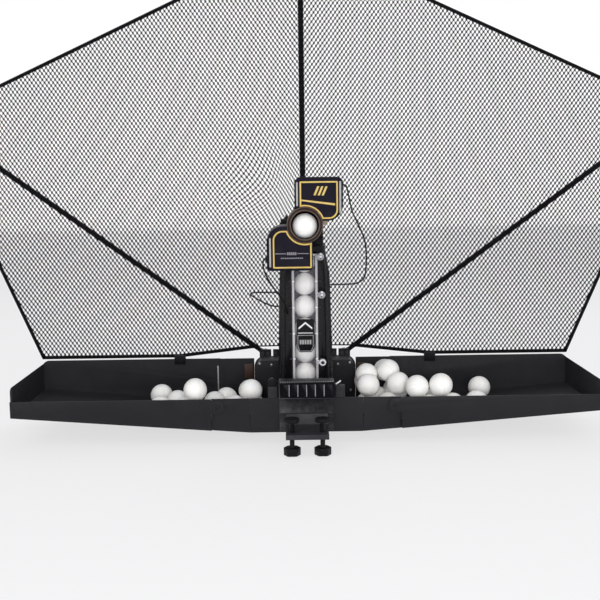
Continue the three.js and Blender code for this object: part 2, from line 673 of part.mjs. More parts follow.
function makeNet() {
  const lowLine = trough.backTop + net.lowerBorder;
  const binLine = trough.backTop + net.binBorder;
  const mastTop = mast.seat + rod.centreLength;
  const wingEnd = tray.outer + wing.length;
  const clearOfMast = mast.halfWidth + fit;
  const upperPoints = [
    [fit, mast.top + fit], [clearOfMast, mast.top + fit], [clearOfMast, binLine],
    [bracket.outer, binLine], alongRod(net.startRadius, net.rodGap), alongRod(rod.length, net.rodGap),
    [fit, mastTop],
  ];
  const lowerPoints = [
    alongRod(net.startRadius, -net.rodGap), [bracket.outer + net.startRadius / 2, binLine - net.lowerBorder],
    [clip.centre, lowLine], [wingEnd, lowLine], alongRod(rod.length, -net.rodGap),
  ];
  let total = 0;
  for (const [name, side] of sides) {
    for (const [part, points] of [["upper", upperPoints], ["lower", lowerPoints]]) {
      const { geometry, gaps } = netPanel(points);
      total += gaps;
      place(`net_${part}_${name}`, sided(geometry, side), looks.netCloth);
    }
  }
  console.log(`net gaps: ${total}`);
}

// Head: swivel turret, elbow, tilting frame, wheels and housings

const rollerY = channelY + turret.radius + fit + drive.rollerRadius;

function makeTurret() {
  const top = turretBottom + turret.height;
  const disc = turned("z", [
    [turret.bore, turretBottom], [turret.radius, turretBottom], [turret.radius, top - wall],
    [turret.radius - wall, top], [turret.bore, top], [turret.bore, turretBottom],
  ], 0, channelY, 40);
  const eyeZ = pathHeight;
  const diagonal = Math.SQRT1_2 * yoke.eye;
  const side = new THREE.Shape();
  side.moveTo(channelY - yoke.footHalf, top - wall);
  side.lineTo(channelY + yoke.footHalf, top - wall);
  side.lineTo(channelY + yoke.footHalf, top + yoke.shoulder / 2);
  side.lineTo(tiltY + diagonal, eyeZ + diagonal);
  side.absarc(tiltY, eyeZ, yoke.eye, swing / 2, swing * 2.5);
  side.lineTo(channelY - yoke.footHalf, top + yoke.shoulder / 4);
  const arms = [];
  const holes = [];
  for (const [, s] of sides) {
    const outer = yoke.inner + yoke.thickness;
    arms.push(sided(prism(side, "x", yoke.inner, outer), s));
    holes.push(bar("x", pin.radius + fit, s > 0 ? yoke.inner - overrun : -outer - overrun,
      s > 0 ? outer + overrun : -yoke.inner + overrun, tiltY, eyeZ));
  }
  place("head_turret", carve(disc, arms, holes), looks.blackPlastic);

  for (const [name, s] of sides) {
    const outer = yoke.inner + yoke.thickness + fit;
    const tip = head.cheekInner + fit;
    const profile = [[0, tip], [pin.radius, tip], [pin.radius, outer], [pin.headRadius, outer],
      [pin.headRadius, outer + pin.headLength - pin.headChamfer],
      [pin.headRadius - pin.headChamfer, outer + pin.headLength], [0, outer + pin.headLength]];
    place(`tilt_pin_${name}`, sided(turned("x", profile, tiltY, eyeZ, 20), s), looks.beige);
  }
}

function makeElbow() {
  const inner = elbow.outer - elbow.wall;
  const at = (y, z) => new THREE.Vector3(0, y, z);
  const bend = [];
  for (let i = 0; i <= elbow.steps; i++) {
    const angle = (i / elbow.steps) * swing;
    bend.push(at(channelY - elbow.bend * (1 - Math.cos(angle)), elbowTop + elbow.bend * Math.sin(angle)));
  }
  const centre = [at(channelY, turretBottom), ...bend];
  const ring = (radius, start, end) => {
    const places = [];
    const normals = [];
    centre.forEach((point, i) => {
      const angle = i === 0 ? 0 : ((i - 1) / elbow.steps) * swing;
      places.push(point.clone());
      normals.push(angle);
    });
    places[0].z -= start;
    places[places.length - 1].y -= end;
    return sweptTube(places, normals, radius);
  };
  const bore = ring(inner, overrun, overrun);
  place("elbow_tube", carve(ring(elbow.outer, 0, 0), [], [bore]), looks.blackPlastic);
}

// A round tube along places in the middle plane, where each angle is the lean from straight up
function sweptTube(places, leans, radius, count = 20) {
  const vertices = [];
  const faces = [];
  places.forEach((centre, i) => {
    for (let k = 0; k < count; k++) {
      const angle = (k / count) * 4 * swing;
      const out = radius * Math.sin(angle);
      vertices.push(radius * Math.cos(angle), centre.y + out * Math.cos(leans[i]), centre.z + out * Math.sin(leans[i]));
    }
  });
  for (let i = 0; i < places.length - 1; i++) {
    for (let k = 0; k < count; k++) {
      const a = i * count + k;
      const b = i * count + ((k + 1) % count);
      faces.push(a, b, a + count, b, b + count, a + count);
    }
  }
  const last = (places.length - 1) * count;
  for (let k = 1; k < count - 1; k++) {
    faces.push(0, k + 1, k);
    faces.push(last, last + k, last + k + 1);
  }
  const geometry = new THREE.BufferGeometry();
  geometry.setAttribute("position", new THREE.Float32BufferAttribute(vertices, 3));
  geometry.setIndex(faces);
  return geometry;
}

function makeHeadFrame() {
  const front = bar("y", head.saddle, frameFront, head.back, 0, pathHeight, 32);
  const rear = bar("y", head.tube, head.back - overrun, head.tubeEnd, 0, pathHeight, 32);
  const cheeks = [];
  for (const [, side] of sides) {
    const shape = new THREE.Shape();
    shape.moveTo(head.cheekFront, pathHeight - head.cheekHalf);
    shape.lineTo(tiltY, pathHeight - head.cheekHalf);
    shape.absarc(tiltY, pathHeight, head.cheekHalf, -swing, swing);
    shape.lineTo(head.cheekFront, pathHeight + head.cheekHalf);
    cheeks.push(sided(prism(shape, "x", head.cheekInner, yoke.inner - fit), side));
  }
  const bore = bar("y", head.bore, frameFront - overrun, head.tubeEnd + overrun, 0, pathHeight, 32);
  const pinHole = bar("x", pin.radius + fit, -turret.radius, turret.radius, tiltY, pathHeight);
  const slotHalf = wheel.width / 2 + wheel.clearance;
  const reach = wheel.radius + wheel.clearance;
  const slot = box(-slotHalf, slotHalf, wheel.setback - reach, wheel.setback + reach,
    pathHeight - head.saddle - overrun, pathHeight + head.saddle + overrun);
  place("head_frame", carve(front, [rear, ...cheeks], [bore, pinHole, slot]), looks.blackPlastic);

  const ringBack = frameFront - fit;
  const ringFront = ringBack - nozzle.length;
  const profile = [
    [nozzle.inner, ringBack], [nozzle.outer, ringBack], [nozzle.outer, ringFront + nozzle.chamfer],
    [nozzle.outer - nozzle.chamfer, ringFront], [nozzle.lip, ringFront],
    [nozzle.inner, ringFront + nozzle.chamfer / 2], [nozzle.inner, ringBack],
  ];
  place("nozzle_ring", turned("y", profile, 0, pathHeight, 40), looks.bronze);
}

// Outline of one wheel housing, drawn outwards from the ball path and cut by an arc round the nozzle
function housingOutline(spec, inset) {
  const near = -(spec.near - inset);
  const far = spec.far - inset;
  const low = spec.low + inset;
  const high = spec.high - inset;
  const arc = nozzle.clear + inset;
  const corner = spec.bigCorner - inset;
  const chamfer = spec.chamfer - inset / 2;
  const arcStart = Math.acos(near / arc);
  const arcEnd = Math.asin(low / arc);
  const points = [
    ...arcPoints(0, 0, arc, arcStart, arcEnd, 12),
    ...arcPoints(far - corner, low + corner, corner, -swing, 0, 8),
    [far, high - chamfer], [far - chamfer, high], [near + chamfer, high], [near, high - chamfer],
  ];
  const s = spec.side;
  return outline(points.map(([u, v]) => [s * u, pathHeight + s * v]));
}

function makeHousing(name, spec) {
  const faceBack = head.front + head.faceThickness;
  const shellFront = faceBack + fit;
  const s = spec.side;
  const shell = prism(housingOutline(spec, 0), "y", shellFront, head.back);
  const cavity = prism(housingOutline(spec, thinWall), "y", shellFront - overrun, head.back - thinWall);
  const slotHalf = wheel.width / 2 + wheel.clearance / 2;
  const reach = wheel.radius + wheel.clearance;
  const slot = box(-slotHalf, slotHalf, wheel.setback - reach, wheel.setback + reach,
    pathHeight + s * ballRadius / 2, pathHeight + s * (nozzle.clear + thinWall + overrun));
  const glandZ = pathHeight + s * (s > 0 ? cable.upperRise : cable.lowerDrop);
  const glandX = s * spec.far;
  const gland = bar("x", cable.glandRadius, Math.min(glandX - s * thinWall / 2, glandX + s * cable.glandLength),
    Math.max(glandX - s * thinWall / 2, glandX + s * cable.glandLength), 0, glandZ, 16);
  place(`${name}_housing`, carve(shell, [gland], [cavity, slot]), looks.blackPlastic);
  place(`${name}_face`, prism(housingOutline(spec, 0), "y", head.front, faceBack), looks.glossNavy);

  const wheelZ = pathHeight + s * wheelOffset;
  const half = wheel.width / 2;
  const profile = [
    [0, -half + wheel.hubRecess], [wheel.rim, -half + wheel.hubRecess], [wheel.rim, -half],
    [wheel.radius, -half], [wheel.radius - wheel.dish, 0], [wheel.radius, half], [wheel.rim, half],
    [wheel.rim, half - wheel.hubRecess], [wheel.axle, half - wheel.hubRecess],
    [wheel.axle, motor.start - motor.bossLength - fit], [0, motor.start - motor.bossLength - fit],
  ];
  place(`${name}_wheel`, sided(turned("x", profile, wheel.setback, wheelZ, 32), s), looks.tyre);

  const canProfile = [
    [0, motor.start - motor.bossLength], [motor.boss, motor.start - motor.bossLength],
    [motor.boss, motor.start], [motor.radius, motor.start], [motor.radius, motor.end], [0, motor.end],
  ];
  place(`${name}_motor`, sided(turned("x", canProfile, wheel.setback, wheelZ, 28), s), looks.motorCase);
}

function makeSwivelDrive() {
  const roofUnder = columnTop - column.roof;
  const motorTop = roofUnder - fit;
  const body = box(-drive.motorHalf, drive.motorHalf, rollerY - drive.motorDepth / 2 - drive.motorAhead,
    rollerY + drive.motorDepth / 2 - drive.motorAhead, motorTop - drive.motorHeight, motorTop);
  const well = bar("z", drive.shaft + fit, motorTop - wall, motorTop + overrun, 0, rollerY);
  place("swivel_motor", carve(body, [], [well]), looks.motorCase);

  const roller = turned("z", [
    [0, motorTop - wall + fit], [drive.shaft, motorTop - wall + fit], [drive.shaft, turretBottom],
    [drive.rollerRadius, turretBottom], [drive.rollerRadius, turretBottom + turret.height - wall],
    [0, turretBottom + turret.height - wall],
  ], 0, rollerY, 20);
  place("swivel_roller", roller, looks.rubber);
}

// Cables, each along points chosen by hand

const cablePlaces = {
  upper: [[0, 0, 0], [4, 0, -0.4], [9, 3, -18], [15, 11, -43], [29, 26, -72], [39, 46, -98], [42, 72, -142],
    [39, 92, -163], [28, 106, -172], [10, 113, -174.6], [-8, 115, -175]],
  lower: [[0, 0, 0], [-3, 0, -0.4], [-5, 2, -10], [-2, 7, -24], [8, 25, -46], [22, 52, -69], [32, 78, -92],
    [33.6, 91, -103]],
  loop: [[0, 0, 0], [-18, -2, 0.6], [-38, -4, 1], [-50, -5, -0.5], [-50, -5, -3.5], [-40, -5, -9.5],
    [-22, -3, -20], [-8, 0, -24.6]],
};

function cableTube(points, steps) {
  const curve = new THREE.CatmullRomCurve3(points.map((p) => new THREE.Vector3(...p)), false, "centripetal");
  const section = new THREE.Shape();
  section.absarc(0, 0, cable.radius, 0, 4 * swing);
  return new THREE.ExtrudeGeometry(section,
    { extrudePath: curve, steps, curveSegments: 4, bevelEnabled: false });
}

function shifted(points, origin) {
  return points.map(([x, y, z]) => [origin[0] + x, origin[1] + y, origin[2] + z]);
}

function makeCables() {
  const upperEntry = pathHeight - entry.upperDrop;
  const lowerEntry = pathHeight - entry.lowerDrop;
  const loopTop = pathHeight - entry.loopTopDrop;
  const loopBottom = pathHeight - entry.loopBottomDrop;
  const loopY = channelY + ballRadius / 2;
  const recessY = columnFront + column.recess - column.ridgeProud;
  const upperStart = [upper.far + cable.glandLength + fit, 0, pathHeight + cable.upperRise];
  const upperEnd = [columnHalfWidth(upperEntry) + fit, channelY, upperEntry];
  const lowerStart = [-lower.far - cable.glandLength - fit, 0, pathHeight - cable.lowerDrop];
  const lowerEnd = [-entry.lowerX, recessY - fit, lowerEntry];
  const loopStart = [-columnHalfWidth(loopTop) - fit, loopY, loopTop];
  const loopEnd = [-columnHalfWidth(loopBottom) - fit, loopY, loopBottom];
  const upperPoints = [...shifted(cablePlaces.upper, upperStart), upperEnd];
  const lowerPoints = [...shifted(cablePlaces.lower, lowerStart), lowerEnd];
  const loopPoints = [...shifted(cablePlaces.loop, loopStart), loopEnd];
  place("upper_motor_cable", cableTube(upperPoints, cable.upperSteps), looks.rubber);
  place("lower_motor_cable", cableTube(lowerPoints, cable.lowerSteps), looks.rubber);
  place("column_loop_cable", cableTube(loopPoints, cable.loopSteps), looks.rubber);
}

makeHook();
makeClamp();
makeHookBlocks();
makeBin();
makeFeedHousing();
makeTrays();
makeWings();
makeColumn();
makeCover();
makeBalls();
makeFeed();
makeRods();
makeNet();
makeTurret();
makeElbow();
makeHeadFrame();
makeHousing("upper", upper);
makeHousing("lower", lower);
makeSwivelDrive();
makeCables();

export default robot;
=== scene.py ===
import json
import math
import bpy
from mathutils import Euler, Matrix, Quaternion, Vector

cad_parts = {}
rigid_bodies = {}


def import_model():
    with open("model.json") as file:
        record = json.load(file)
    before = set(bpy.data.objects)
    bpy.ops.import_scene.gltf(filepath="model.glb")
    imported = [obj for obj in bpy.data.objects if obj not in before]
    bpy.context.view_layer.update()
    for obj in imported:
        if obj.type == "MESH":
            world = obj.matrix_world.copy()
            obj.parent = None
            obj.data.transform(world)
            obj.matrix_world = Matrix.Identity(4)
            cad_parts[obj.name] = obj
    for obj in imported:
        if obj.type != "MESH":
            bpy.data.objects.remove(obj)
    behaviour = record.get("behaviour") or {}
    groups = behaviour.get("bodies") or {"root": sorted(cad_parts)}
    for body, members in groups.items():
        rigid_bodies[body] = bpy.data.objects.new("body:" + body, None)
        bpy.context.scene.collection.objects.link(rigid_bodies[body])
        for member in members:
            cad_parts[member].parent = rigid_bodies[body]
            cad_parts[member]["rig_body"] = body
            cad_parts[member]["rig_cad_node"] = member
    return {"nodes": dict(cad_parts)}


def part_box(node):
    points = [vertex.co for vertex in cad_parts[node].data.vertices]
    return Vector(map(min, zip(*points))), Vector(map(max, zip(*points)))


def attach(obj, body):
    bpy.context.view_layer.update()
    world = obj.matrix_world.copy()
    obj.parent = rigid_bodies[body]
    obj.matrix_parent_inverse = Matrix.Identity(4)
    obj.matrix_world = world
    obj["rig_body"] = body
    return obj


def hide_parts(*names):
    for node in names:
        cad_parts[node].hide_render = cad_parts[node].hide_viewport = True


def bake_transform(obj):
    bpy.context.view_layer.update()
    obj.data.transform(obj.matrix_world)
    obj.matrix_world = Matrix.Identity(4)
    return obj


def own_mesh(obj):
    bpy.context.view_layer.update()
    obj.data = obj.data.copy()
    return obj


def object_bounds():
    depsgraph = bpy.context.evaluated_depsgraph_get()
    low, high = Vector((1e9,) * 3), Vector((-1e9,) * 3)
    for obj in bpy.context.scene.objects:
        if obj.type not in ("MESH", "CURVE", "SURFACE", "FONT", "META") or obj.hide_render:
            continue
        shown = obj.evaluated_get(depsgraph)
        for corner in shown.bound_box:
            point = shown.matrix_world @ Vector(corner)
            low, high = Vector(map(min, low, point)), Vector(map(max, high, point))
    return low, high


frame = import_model()
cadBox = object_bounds()
mm = 0.001
sides = (("left", "Left", -1), ("right", "Right", 1))


# leaves nothing selected, so that a new primitive starts alone
def addNew():
    if bpy.context.mode != "OBJECT":
        bpy.ops.object.mode_set(mode="OBJECT")
    bpy.ops.object.select_all(action="DESELECT")


def pickOnly(*pieces):
    addNew()
    for piece in pieces:
        piece.select_set(True)
    bpy.context.view_layer.objects.active = pieces[0]


def editAll(piece):
    pickOnly(piece)
    bpy.ops.object.mode_set(mode="EDIT")
    bpy.ops.mesh.select_all(action="SELECT")


def objectMode():
    bpy.ops.object.mode_set(mode="OBJECT")


# selects the vertices, edges or faces that pass a test, and stays in edit mode
def selectWhere(piece, kind, test):
    editAll(piece)
    bpy.ops.mesh.select_mode(type=kind)
    bpy.ops.mesh.select_all(action="DESELECT")
    objectMode()
    parts = {"VERT": piece.data.vertices, "EDGE": piece.data.edges, "FACE": piece.data.polygons}
    for part in parts[kind]:
        part.select = test(part)
    bpy.ops.object.mode_set(mode="EDIT")


def applyModifier(piece, kind, **settings):
    pickOnly(piece)
    bpy.ops.object.modifier_add(type=kind)
    modifier = piece.modifiers[-1]
    for key, value in settings.items():
        setattr(modifier, key, value)
    bpy.ops.object.modifier_apply(modifier=modifier.name)


def bevelEdges(piece, width, segments=2, angle=32):
    applyModifier(piece, "BEVEL", width=width * mm, segments=segments, limit_method="ANGLE",
                  angle_limit=math.radians(angle), use_clamp_overlap=True)


def smoothShade(piece, angle=34):
    pickOnly(piece)
    bpy.ops.object.shade_smooth_by_angle(angle=math.radians(angle))


def cleanNormals(piece):
    editAll(piece)
    bpy.ops.mesh.remove_doubles(threshold=0.000002)
    bpy.ops.mesh.normals_make_consistent(inside=False)
    objectMode()


def joined(pieces):
    pickOnly(*pieces)
    bpy.ops.object.join()
    return bpy.context.object


# copies a shape to each offset in millimetres, and joins the copies
def copyAt(shape, offsets):
    pieces = []
    for offset in offsets:
        pickOnly(shape)
        bpy.ops.object.duplicate()
        piece = bpy.context.object
        piece.location = shape.location + Vector(offset) * mm
        pieces.append(piece)
    pickOnly(shape)
    bpy.ops.object.delete()
    return joined(pieces)


# the offsets of count copies, the first of them at the shape itself
def repeats(count, x, y=0, z=0):
    return [(i * x, i * y, i * z) for i in range(count)]


def finishPiece(piece, name, finish, body, nodes=()):
    pickOnly(piece)
    bpy.ops.object.transform_apply(location=True, rotation=True, scale=True)
    piece.name = name
    piece.data.name = name
    piece.data.materials.clear()
    piece.data.materials.append(finishes[finish])
    if body:
        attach(piece, body)
    if nodes:
        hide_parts(*nodes)
    return piece


def roundedBox(low, high, radius=0.8, segments=2):
    addNew()
    centre = [(a + b) / 2 * mm for a, b in zip(low, high)]
    size = [(b - a) * mm for a, b in zip(low, high)]
    bpy.ops.mesh.primitive_cube_add(size=1, location=centre, scale=size)
    piece = bpy.context.object
    bpy.ops.object.transform_apply(location=True, rotation=True, scale=True)
    if radius:
        bevelEdges(piece, radius, segments)
    smoothShade(piece)
    return piece


# a box from near to far on side -1 or 1, with its depths and heights as pairs
def sideBox(side, near, far, depths, heights, radius=0.8, segments=2):
    left, right = sorted((side * near, side * far))
    return roundedBox((left, depths[0], heights[0]), (right, depths[1], heights[1]), radius, segments)


# points are (x, z) in millimetres, and the plate runs from y front to y back
# with a width it is only a band along the inside of its outline
def outlinePlate(points, front, back, width=0):
    addNew()
    bpy.ops.mesh.primitive_circle_add(vertices=len(points), radius=0.01, fill_type="NGON")
    piece = bpy.context.object
    for vertex, (x, z) in zip(piece.data.vertices, points):
        vertex.co = (x * mm, front * mm, z * mm)
    if width:
        editAll(piece)
        bpy.ops.mesh.inset(thickness=width * mm, use_boundary=True, use_even_offset=True)
        bpy.ops.mesh.delete(type="FACE")
        objectMode()
    if back != front:
        editAll(piece)
        bpy.ops.mesh.extrude_region_move(TRANSFORM_OT_translate={"value": (0, (back - front) * mm, 0)})
        objectMode()
    cleanNormals(piece)
    return piece


# profile is (radius, along the axis) in millimetres
def turnedPiece(profile, axis, centre, steps):
    addNew()
    bpy.ops.mesh.primitive_circle_add(vertices=len(profile), radius=0.01, fill_type="NOTHING")
    piece = bpy.context.object
    for vertex, (radius, along) in zip(piece.data.vertices, profile):
        vertex.co = (radius * mm, 0, along * mm)
    applyModifier(piece, "SCREW", axis="Z", steps=steps, render_steps=steps, angle=2 * math.pi,
                  use_merge_vertices=True, merge_threshold=0.00001)
    editAll(piece)
    bpy.ops.mesh.dissolve_degenerate(threshold=0.000005)
    objectMode()
    cleanNormals(piece)
    turns = {"X": (0, math.pi / 2, 0), "Y": (-math.pi / 2, 0, 0), "Z": (0, 0, 0)}
    piece.rotation_euler = turns[axis]
    piece.location = [c * mm for c in centre]
    pickOnly(piece)
    bpy.ops.object.transform_apply(location=True, rotation=True, scale=True)
    smoothShade(piece)
    return piece


# a profile of (radius, along the axis) for side 1 or its mirror image for side -1
def mirrored(profile, side):
    return [(radius, side * along) for radius, along in profile]


# a round tube along points in metres
def linePiece(points, radius, resolution=3, caps=True):
    addNew()
    bpy.ops.curve.primitive_bezier_curve_add()
    piece = bpy.context.object
    piece.location = (0, 0, 0)
    curve = piece.data
    curve.splines.clear()
    spline = curve.splines.new("POLY")
    spline.points.add(len(points) - 1)
    for target, point in zip(spline.points, points):
        target.co = (*point, 1)
    curve.dimensions = "3D"
    curve.bevel_depth = radius * mm
    curve.bevel_resolution = resolution
    curve.use_fill_caps = caps
    pickOnly(piece)
    bpy.ops.object.convert(target="MESH")
    piece = bpy.context.object
    cleanNormals(piece)
    smoothShade(piece, 50)
    return piece


# a copy of a CAD node with its flat faces joined and its edges rounded
def refined(node, bevel, segments=2, angle=32, smooth=34):
    pickOnly(frame["nodes"][node])
    bpy.ops.object.duplicate()
    piece = bpy.context.object
    piece.parent = None
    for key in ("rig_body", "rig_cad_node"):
        if key in piece:
            del piece[key]
    bpy.ops.mesh.customdata_custom_splitnormals_clear()
    editAll(piece)
    bpy.ops.mesh.remove_doubles(threshold=0.000002)
    bpy.ops.mesh.dissolve_limited(angle_limit=math.radians(0.6))
    objectMode()
    if bevel:
        bevelEdges(piece, bevel, segments, angle)
    smoothShade(piece, smooth)
    return piece


# a dressed copy of a CAD node takes its place
def dressNode(node, name, finish, body, bevel, segments=2):
    finishPiece(refined(node, bevel, segments), name, finish, body, (node,))


def arcPoints(x, z, radius, start, end, count):
    points = []
    for i in range(count + 1):
        angle = start + (end - start) * i / count
        points.append((x + radius * math.cos(angle), z + radius * math.sin(angle)))
    return points


# steps + 1 points in metres between two that are given in millimetres
def straightRoute(start, end, steps):
    return [start.lerp(end, i / steps) * mm for i in range(steps + 1)]


# a centripetal curve through points, as count + 1 points equally spread in its parameter
def smoothRoute(points, count):
    points = [Vector(p) for p in points]
    chain = [points[0] * 2 - points[1]] + points + [points[-1] * 2 - points[-2]]
    route = []
    spans = len(points) - 1
    for i in range(count + 1):
        place = min(i / count * spans, spans - 0.000001)
        k = int(place)
        p0, p1, p2, p3 = chain[k:k + 4]
        t1 = max((p1 - p0).length ** 0.5, 0.0001)
        t2 = t1 + max((p2 - p1).length ** 0.5, 0.0001)
        t3 = t2 + max((p3 - p2).length ** 0.5, 0.0001)
        t = t1 + (t2 - t1) * (place - k)
        a1 = p0 * ((t1 - t) / t1) + p1 * (t / t1)
        a2 = p1 * ((t2 - t) / (t2 - t1)) + p2 * ((t - t1) / (t2 - t1))
        a3 = p2 * ((t3 - t) / (t3 - t2)) + p3 * ((t - t2) / (t3 - t2))
        b1 = a1 * ((t2 - t) / t2) + a2 * (t / t2)
        b2 = a2 * ((t3 - t) / (t3 - t1)) + a3 * ((t - t1) / (t3 - t1))
        route.append(b1 * ((t2 - t) / (t2 - t1)) + b2 * ((t - t1) / (t2 - t1)))
    return route


def routeLength(route):
    return sum((b - a).length for a, b in zip(route, route[1:]))


# a socket takes a number, a colour or a link
def setSocket(tree, socket, value):
    if isinstance(value, tuple):
        socket.default_value = (*value, 1)
    elif isinstance(value, (int, float)):
        socket.default_value = value
    else:
        tree.links.new(value, socket)


def setInputs(tree, node, values):
    for key, value in values.items():
        setSocket(tree, node.inputs[key], value)
    return node


def addNode(tree, kind, **values):
    return setInputs(tree, tree.nodes.new(f"ShaderNode{kind}"), values)


def mixShaders(tree, factor, first, second):
    mix = addNode(tree, "MixShader", Fac=factor)
    for socket, shader in zip(mix.inputs[1:], (first, second)):
        setSocket(tree, socket, shader.outputs[0])
    return mix.outputs[0]


def mathNode(tree, operation, first, second=0, clamp=False):
    node = addNode(tree, "Math")
    node.operation = operation
    node.use_clamp = clamp
    for socket, value in zip(node.inputs, (first, second)):
        setSocket(tree, socket, value)
    return node.outputs[0]


# a texture on the object's own coordinates
def addTexture(tree, kind, scale, **values):
    node = addNode(tree, kind, Scale=scale, **values)
    tree.links.new(addNode(tree, "TexCoord").outputs["Object"], node.inputs["Vector"])
    return node


def newMaterial(name):
    material = bpy.data.materials.new(name)
    material.use_nodes = True
    return material, material.node_tree, material.node_tree.nodes["Principled BSDF"]


view = {"position": (-0.016, -1.4885, 0.36), "pitch": 7.52, "yaw": 0.27, "roll": -0.75, "lens": 54.84}


def makeCamera():
    addNew()
    base = Euler((math.radians(90 - view["pitch"]), 0, math.radians(-view["yaw"]))).to_quaternion()
    turned = base @ Quaternion((0, 0, 1), math.radians(view["roll"]))
    bpy.ops.object.camera_add(location=view["position"], rotation=turned.to_euler())
    camera = bpy.context.object
    camera.name = "photoCamera"
    camera.data.lens = view["lens"]
    camera.data.sensor_width = 36
    camera.data.clip_end = 60
    bpy.context.scene.camera = camera
    bpy.context.scene.view_settings.view_transform = "Standard"


lights = {
    "keyLight": {"place": (-1.3, -1.9, 1.7), "size": 1.6, "power": 13},
    "fillLight": {"place": (1.5, -1.7, 0.9), "size": 1.8, "power": 8},
    "frontLight": {"place": (0.1, -2.6, 0.6), "size": 1.0, "power": 41},
    "rimLight": {"place": (0.3, 1.5, 1.8), "size": 1.4, "power": 12},
}


room = {"colour": (0.92, 0.95, 1), "strength": 0.36, "floor": (0.9, 0.9, 0.91), "floorGlow": 0.66}


# 1 for the rays that show the background: those of the camera, of gloss and of clear plastic
def backgroundRays(tree):
    path = addNode(tree, "LightPath")
    seen = path.outputs["Is Camera Ray"]
    for kind in ("Is Glossy Ray", "Is Transmission Ray"):
        seen = mathNode(tree, "MAXIMUM", seen, path.outputs[kind])
    return seen


def makeLights():
    for name, light in lights.items():
        aim = Vector((0, 0.1, 0.2)) - Vector(light["place"])
        bpy.ops.object.light_add(type="AREA", location=light["place"],
                                 rotation=aim.to_track_quat("-Z", "Y").to_euler())
        lamp = bpy.context.object
        lamp.name = name
        lamp.data.size = light["size"]
        lamp.data.energy = light["power"]
        lamp.visible_glossy = name != "frontLight"


# the room shades the object softly and shows white behind it
def makeRoom():
    world = bpy.data.worlds.new("paleRoom")
    bpy.context.scene.world = world
    world.use_nodes = True
    tree = world.node_tree
    tree.nodes.clear()
    shade = addNode(tree, "Background", Strength=room["strength"], Color=room["colour"])
    white = addNode(tree, "Background", Strength=1, Color=(1, 1, 1))
    addNode(tree, "OutputWorld", Surface=mixShaders(tree, backgroundRays(tree), shade, white))


def makeFloor():
    material, tree, shader = newMaterial("paleFloor")
    setInputs(tree, shader, {"Base Color": room["floor"], "Roughness": 0.9})
    glow = addNode(tree, "Emission", Strength=1, Color=(1, 1, 1))
    share = mathNode(tree, "MULTIPLY", backgroundRays(tree), room["floorGlow"])
    setInputs(tree, tree.nodes["Material Output"], {"Surface": mixShaders(tree, share, shader, glow)})
    bpy.ops.mesh.primitive_plane_add(size=14, location=(0, 0, cadBox[0].z - 0.002))
    floor = bpy.context.object
    floor.name = "paleFloor"
    floor.data.materials.append(material)


makeCamera()
makeLights()
makeRoom()
makeFloor()
print("camera, light and floor are ready")


def newGroup(name, inputs, outputs):
    group = bpy.data.node_groups.new(name, "ShaderNodeTree")
    for label, default in inputs:
        socket = group.interface.new_socket(name=label, in_out="INPUT", socket_type="NodeSocketFloat")
        socket.default_value = default
    for label in outputs:
        group.interface.new_socket(name=label, in_out="OUTPUT", socket_type="NodeSocketFloat")
    start = group.nodes.new("NodeGroupInput")
    end = group.nodes.new("NodeGroupOutput")
    return group, start, end


def makeGrainGroup():
    group, start, end = newGroup("mouldedGrain", (("Scale", 900.0), ("Spread", 40.0)), ("Height", "Mottle"))
    fine = addTexture(group, "TexNoise", start.outputs["Scale"], Detail=3)
    cells = addTexture(group, "TexVoronoi", start.outputs["Scale"])
    broad = addTexture(group, "TexNoise", start.outputs["Spread"], Detail=4)
    blend = mathNode(group, "MULTIPLY", cells.outputs["Distance"], 0.6)
    height = mathNode(group, "ADD", fine.outputs["Fac"], blend)
    setInputs(group, end, {"Height": height, "Mottle": broad.outputs["Fac"]})
    return group


def makeWearGroup():
    group, start, end = newGroup("edgeWear", (("Amount", 0.5), ("Breakup", 120.0)), ("Mask",))
    ramp = addNode(group, "ValToRGB", Fac=addNode(group, "NewGeometry").outputs["Pointiness"])
    ramp.color_ramp.elements[0].position = 0.57
    ramp.color_ramp.elements[1].position = 0.7
    noise = addTexture(group, "TexNoise", start.outputs["Breakup"], Detail=5)
    broken = mathNode(group, "MULTIPLY", ramp.outputs["Color"], noise.outputs["Fac"])
    setSocket(group, end.inputs["Mask"], mathNode(group, "MULTIPLY", broken, start.outputs["Amount"], True))
    return group


def makeDustGroup():
    group, start, end = newGroup("settledDust", (("Amount", 0.2), ("Scale", 60.0)), ("Mask",))
    parts = addNode(group, "SeparateXYZ", Vector=addNode(group, "NewGeometry").outputs["Normal"])
    noise = addTexture(group, "TexNoise", start.outputs["Scale"], Detail=6)
    up = mathNode(group, "MULTIPLY", parts.outputs["Z"], noise.outputs["Fac"], True)
    setSocket(group, end.inputs["Mask"], mathNode(group, "MULTIPLY", up, start.outputs["Amount"], True))
    return group


def makeKnitGroup():
    group, start, end = newGroup("knit", (("Scale", 1400.0),), ("Height", "Tone"))
    heights = []
    for axis in ("X", "Z"):
        wave = addTexture(group, "TexWave", start.outputs["Scale"], Distortion=1.2, Detail=1)
        wave.bands_direction = axis
        heights.append(wave.outputs["Fac"])
    noise = addTexture(group, "TexNoise", 90)
    setInputs(group, end, {"Height": mathNode(group, "MULTIPLY", *heights), "Tone": noise.outputs["Fac"]})
    return group


grainGroup = makeGrainGroup()
wearGroup = makeWearGroup()
dustGroup = makeDustGroup()
knitGroup = makeKnitGroup()


def addGroup(tree, group, **values):
    node = tree.nodes.new("ShaderNodeGroup")
    node.node_tree = group
    return setInputs(tree, node, values)


def mixColours(tree, factor, first, second):
    node = tree.nodes.new("ShaderNodeMix")
    node.data_type = "RGBA"
    setInputs(tree, node, {"Factor": factor, 6: first, 7: second})  # 6 and 7 are the two colours
    return node.outputs[2]


def addBump(tree, shader, height, strength, distance):
    bump = addNode(tree, "Bump", Strength=strength, Distance=distance, Height=height)
    tree.links.new(bump.outputs["Normal"], shader.inputs["Normal"])


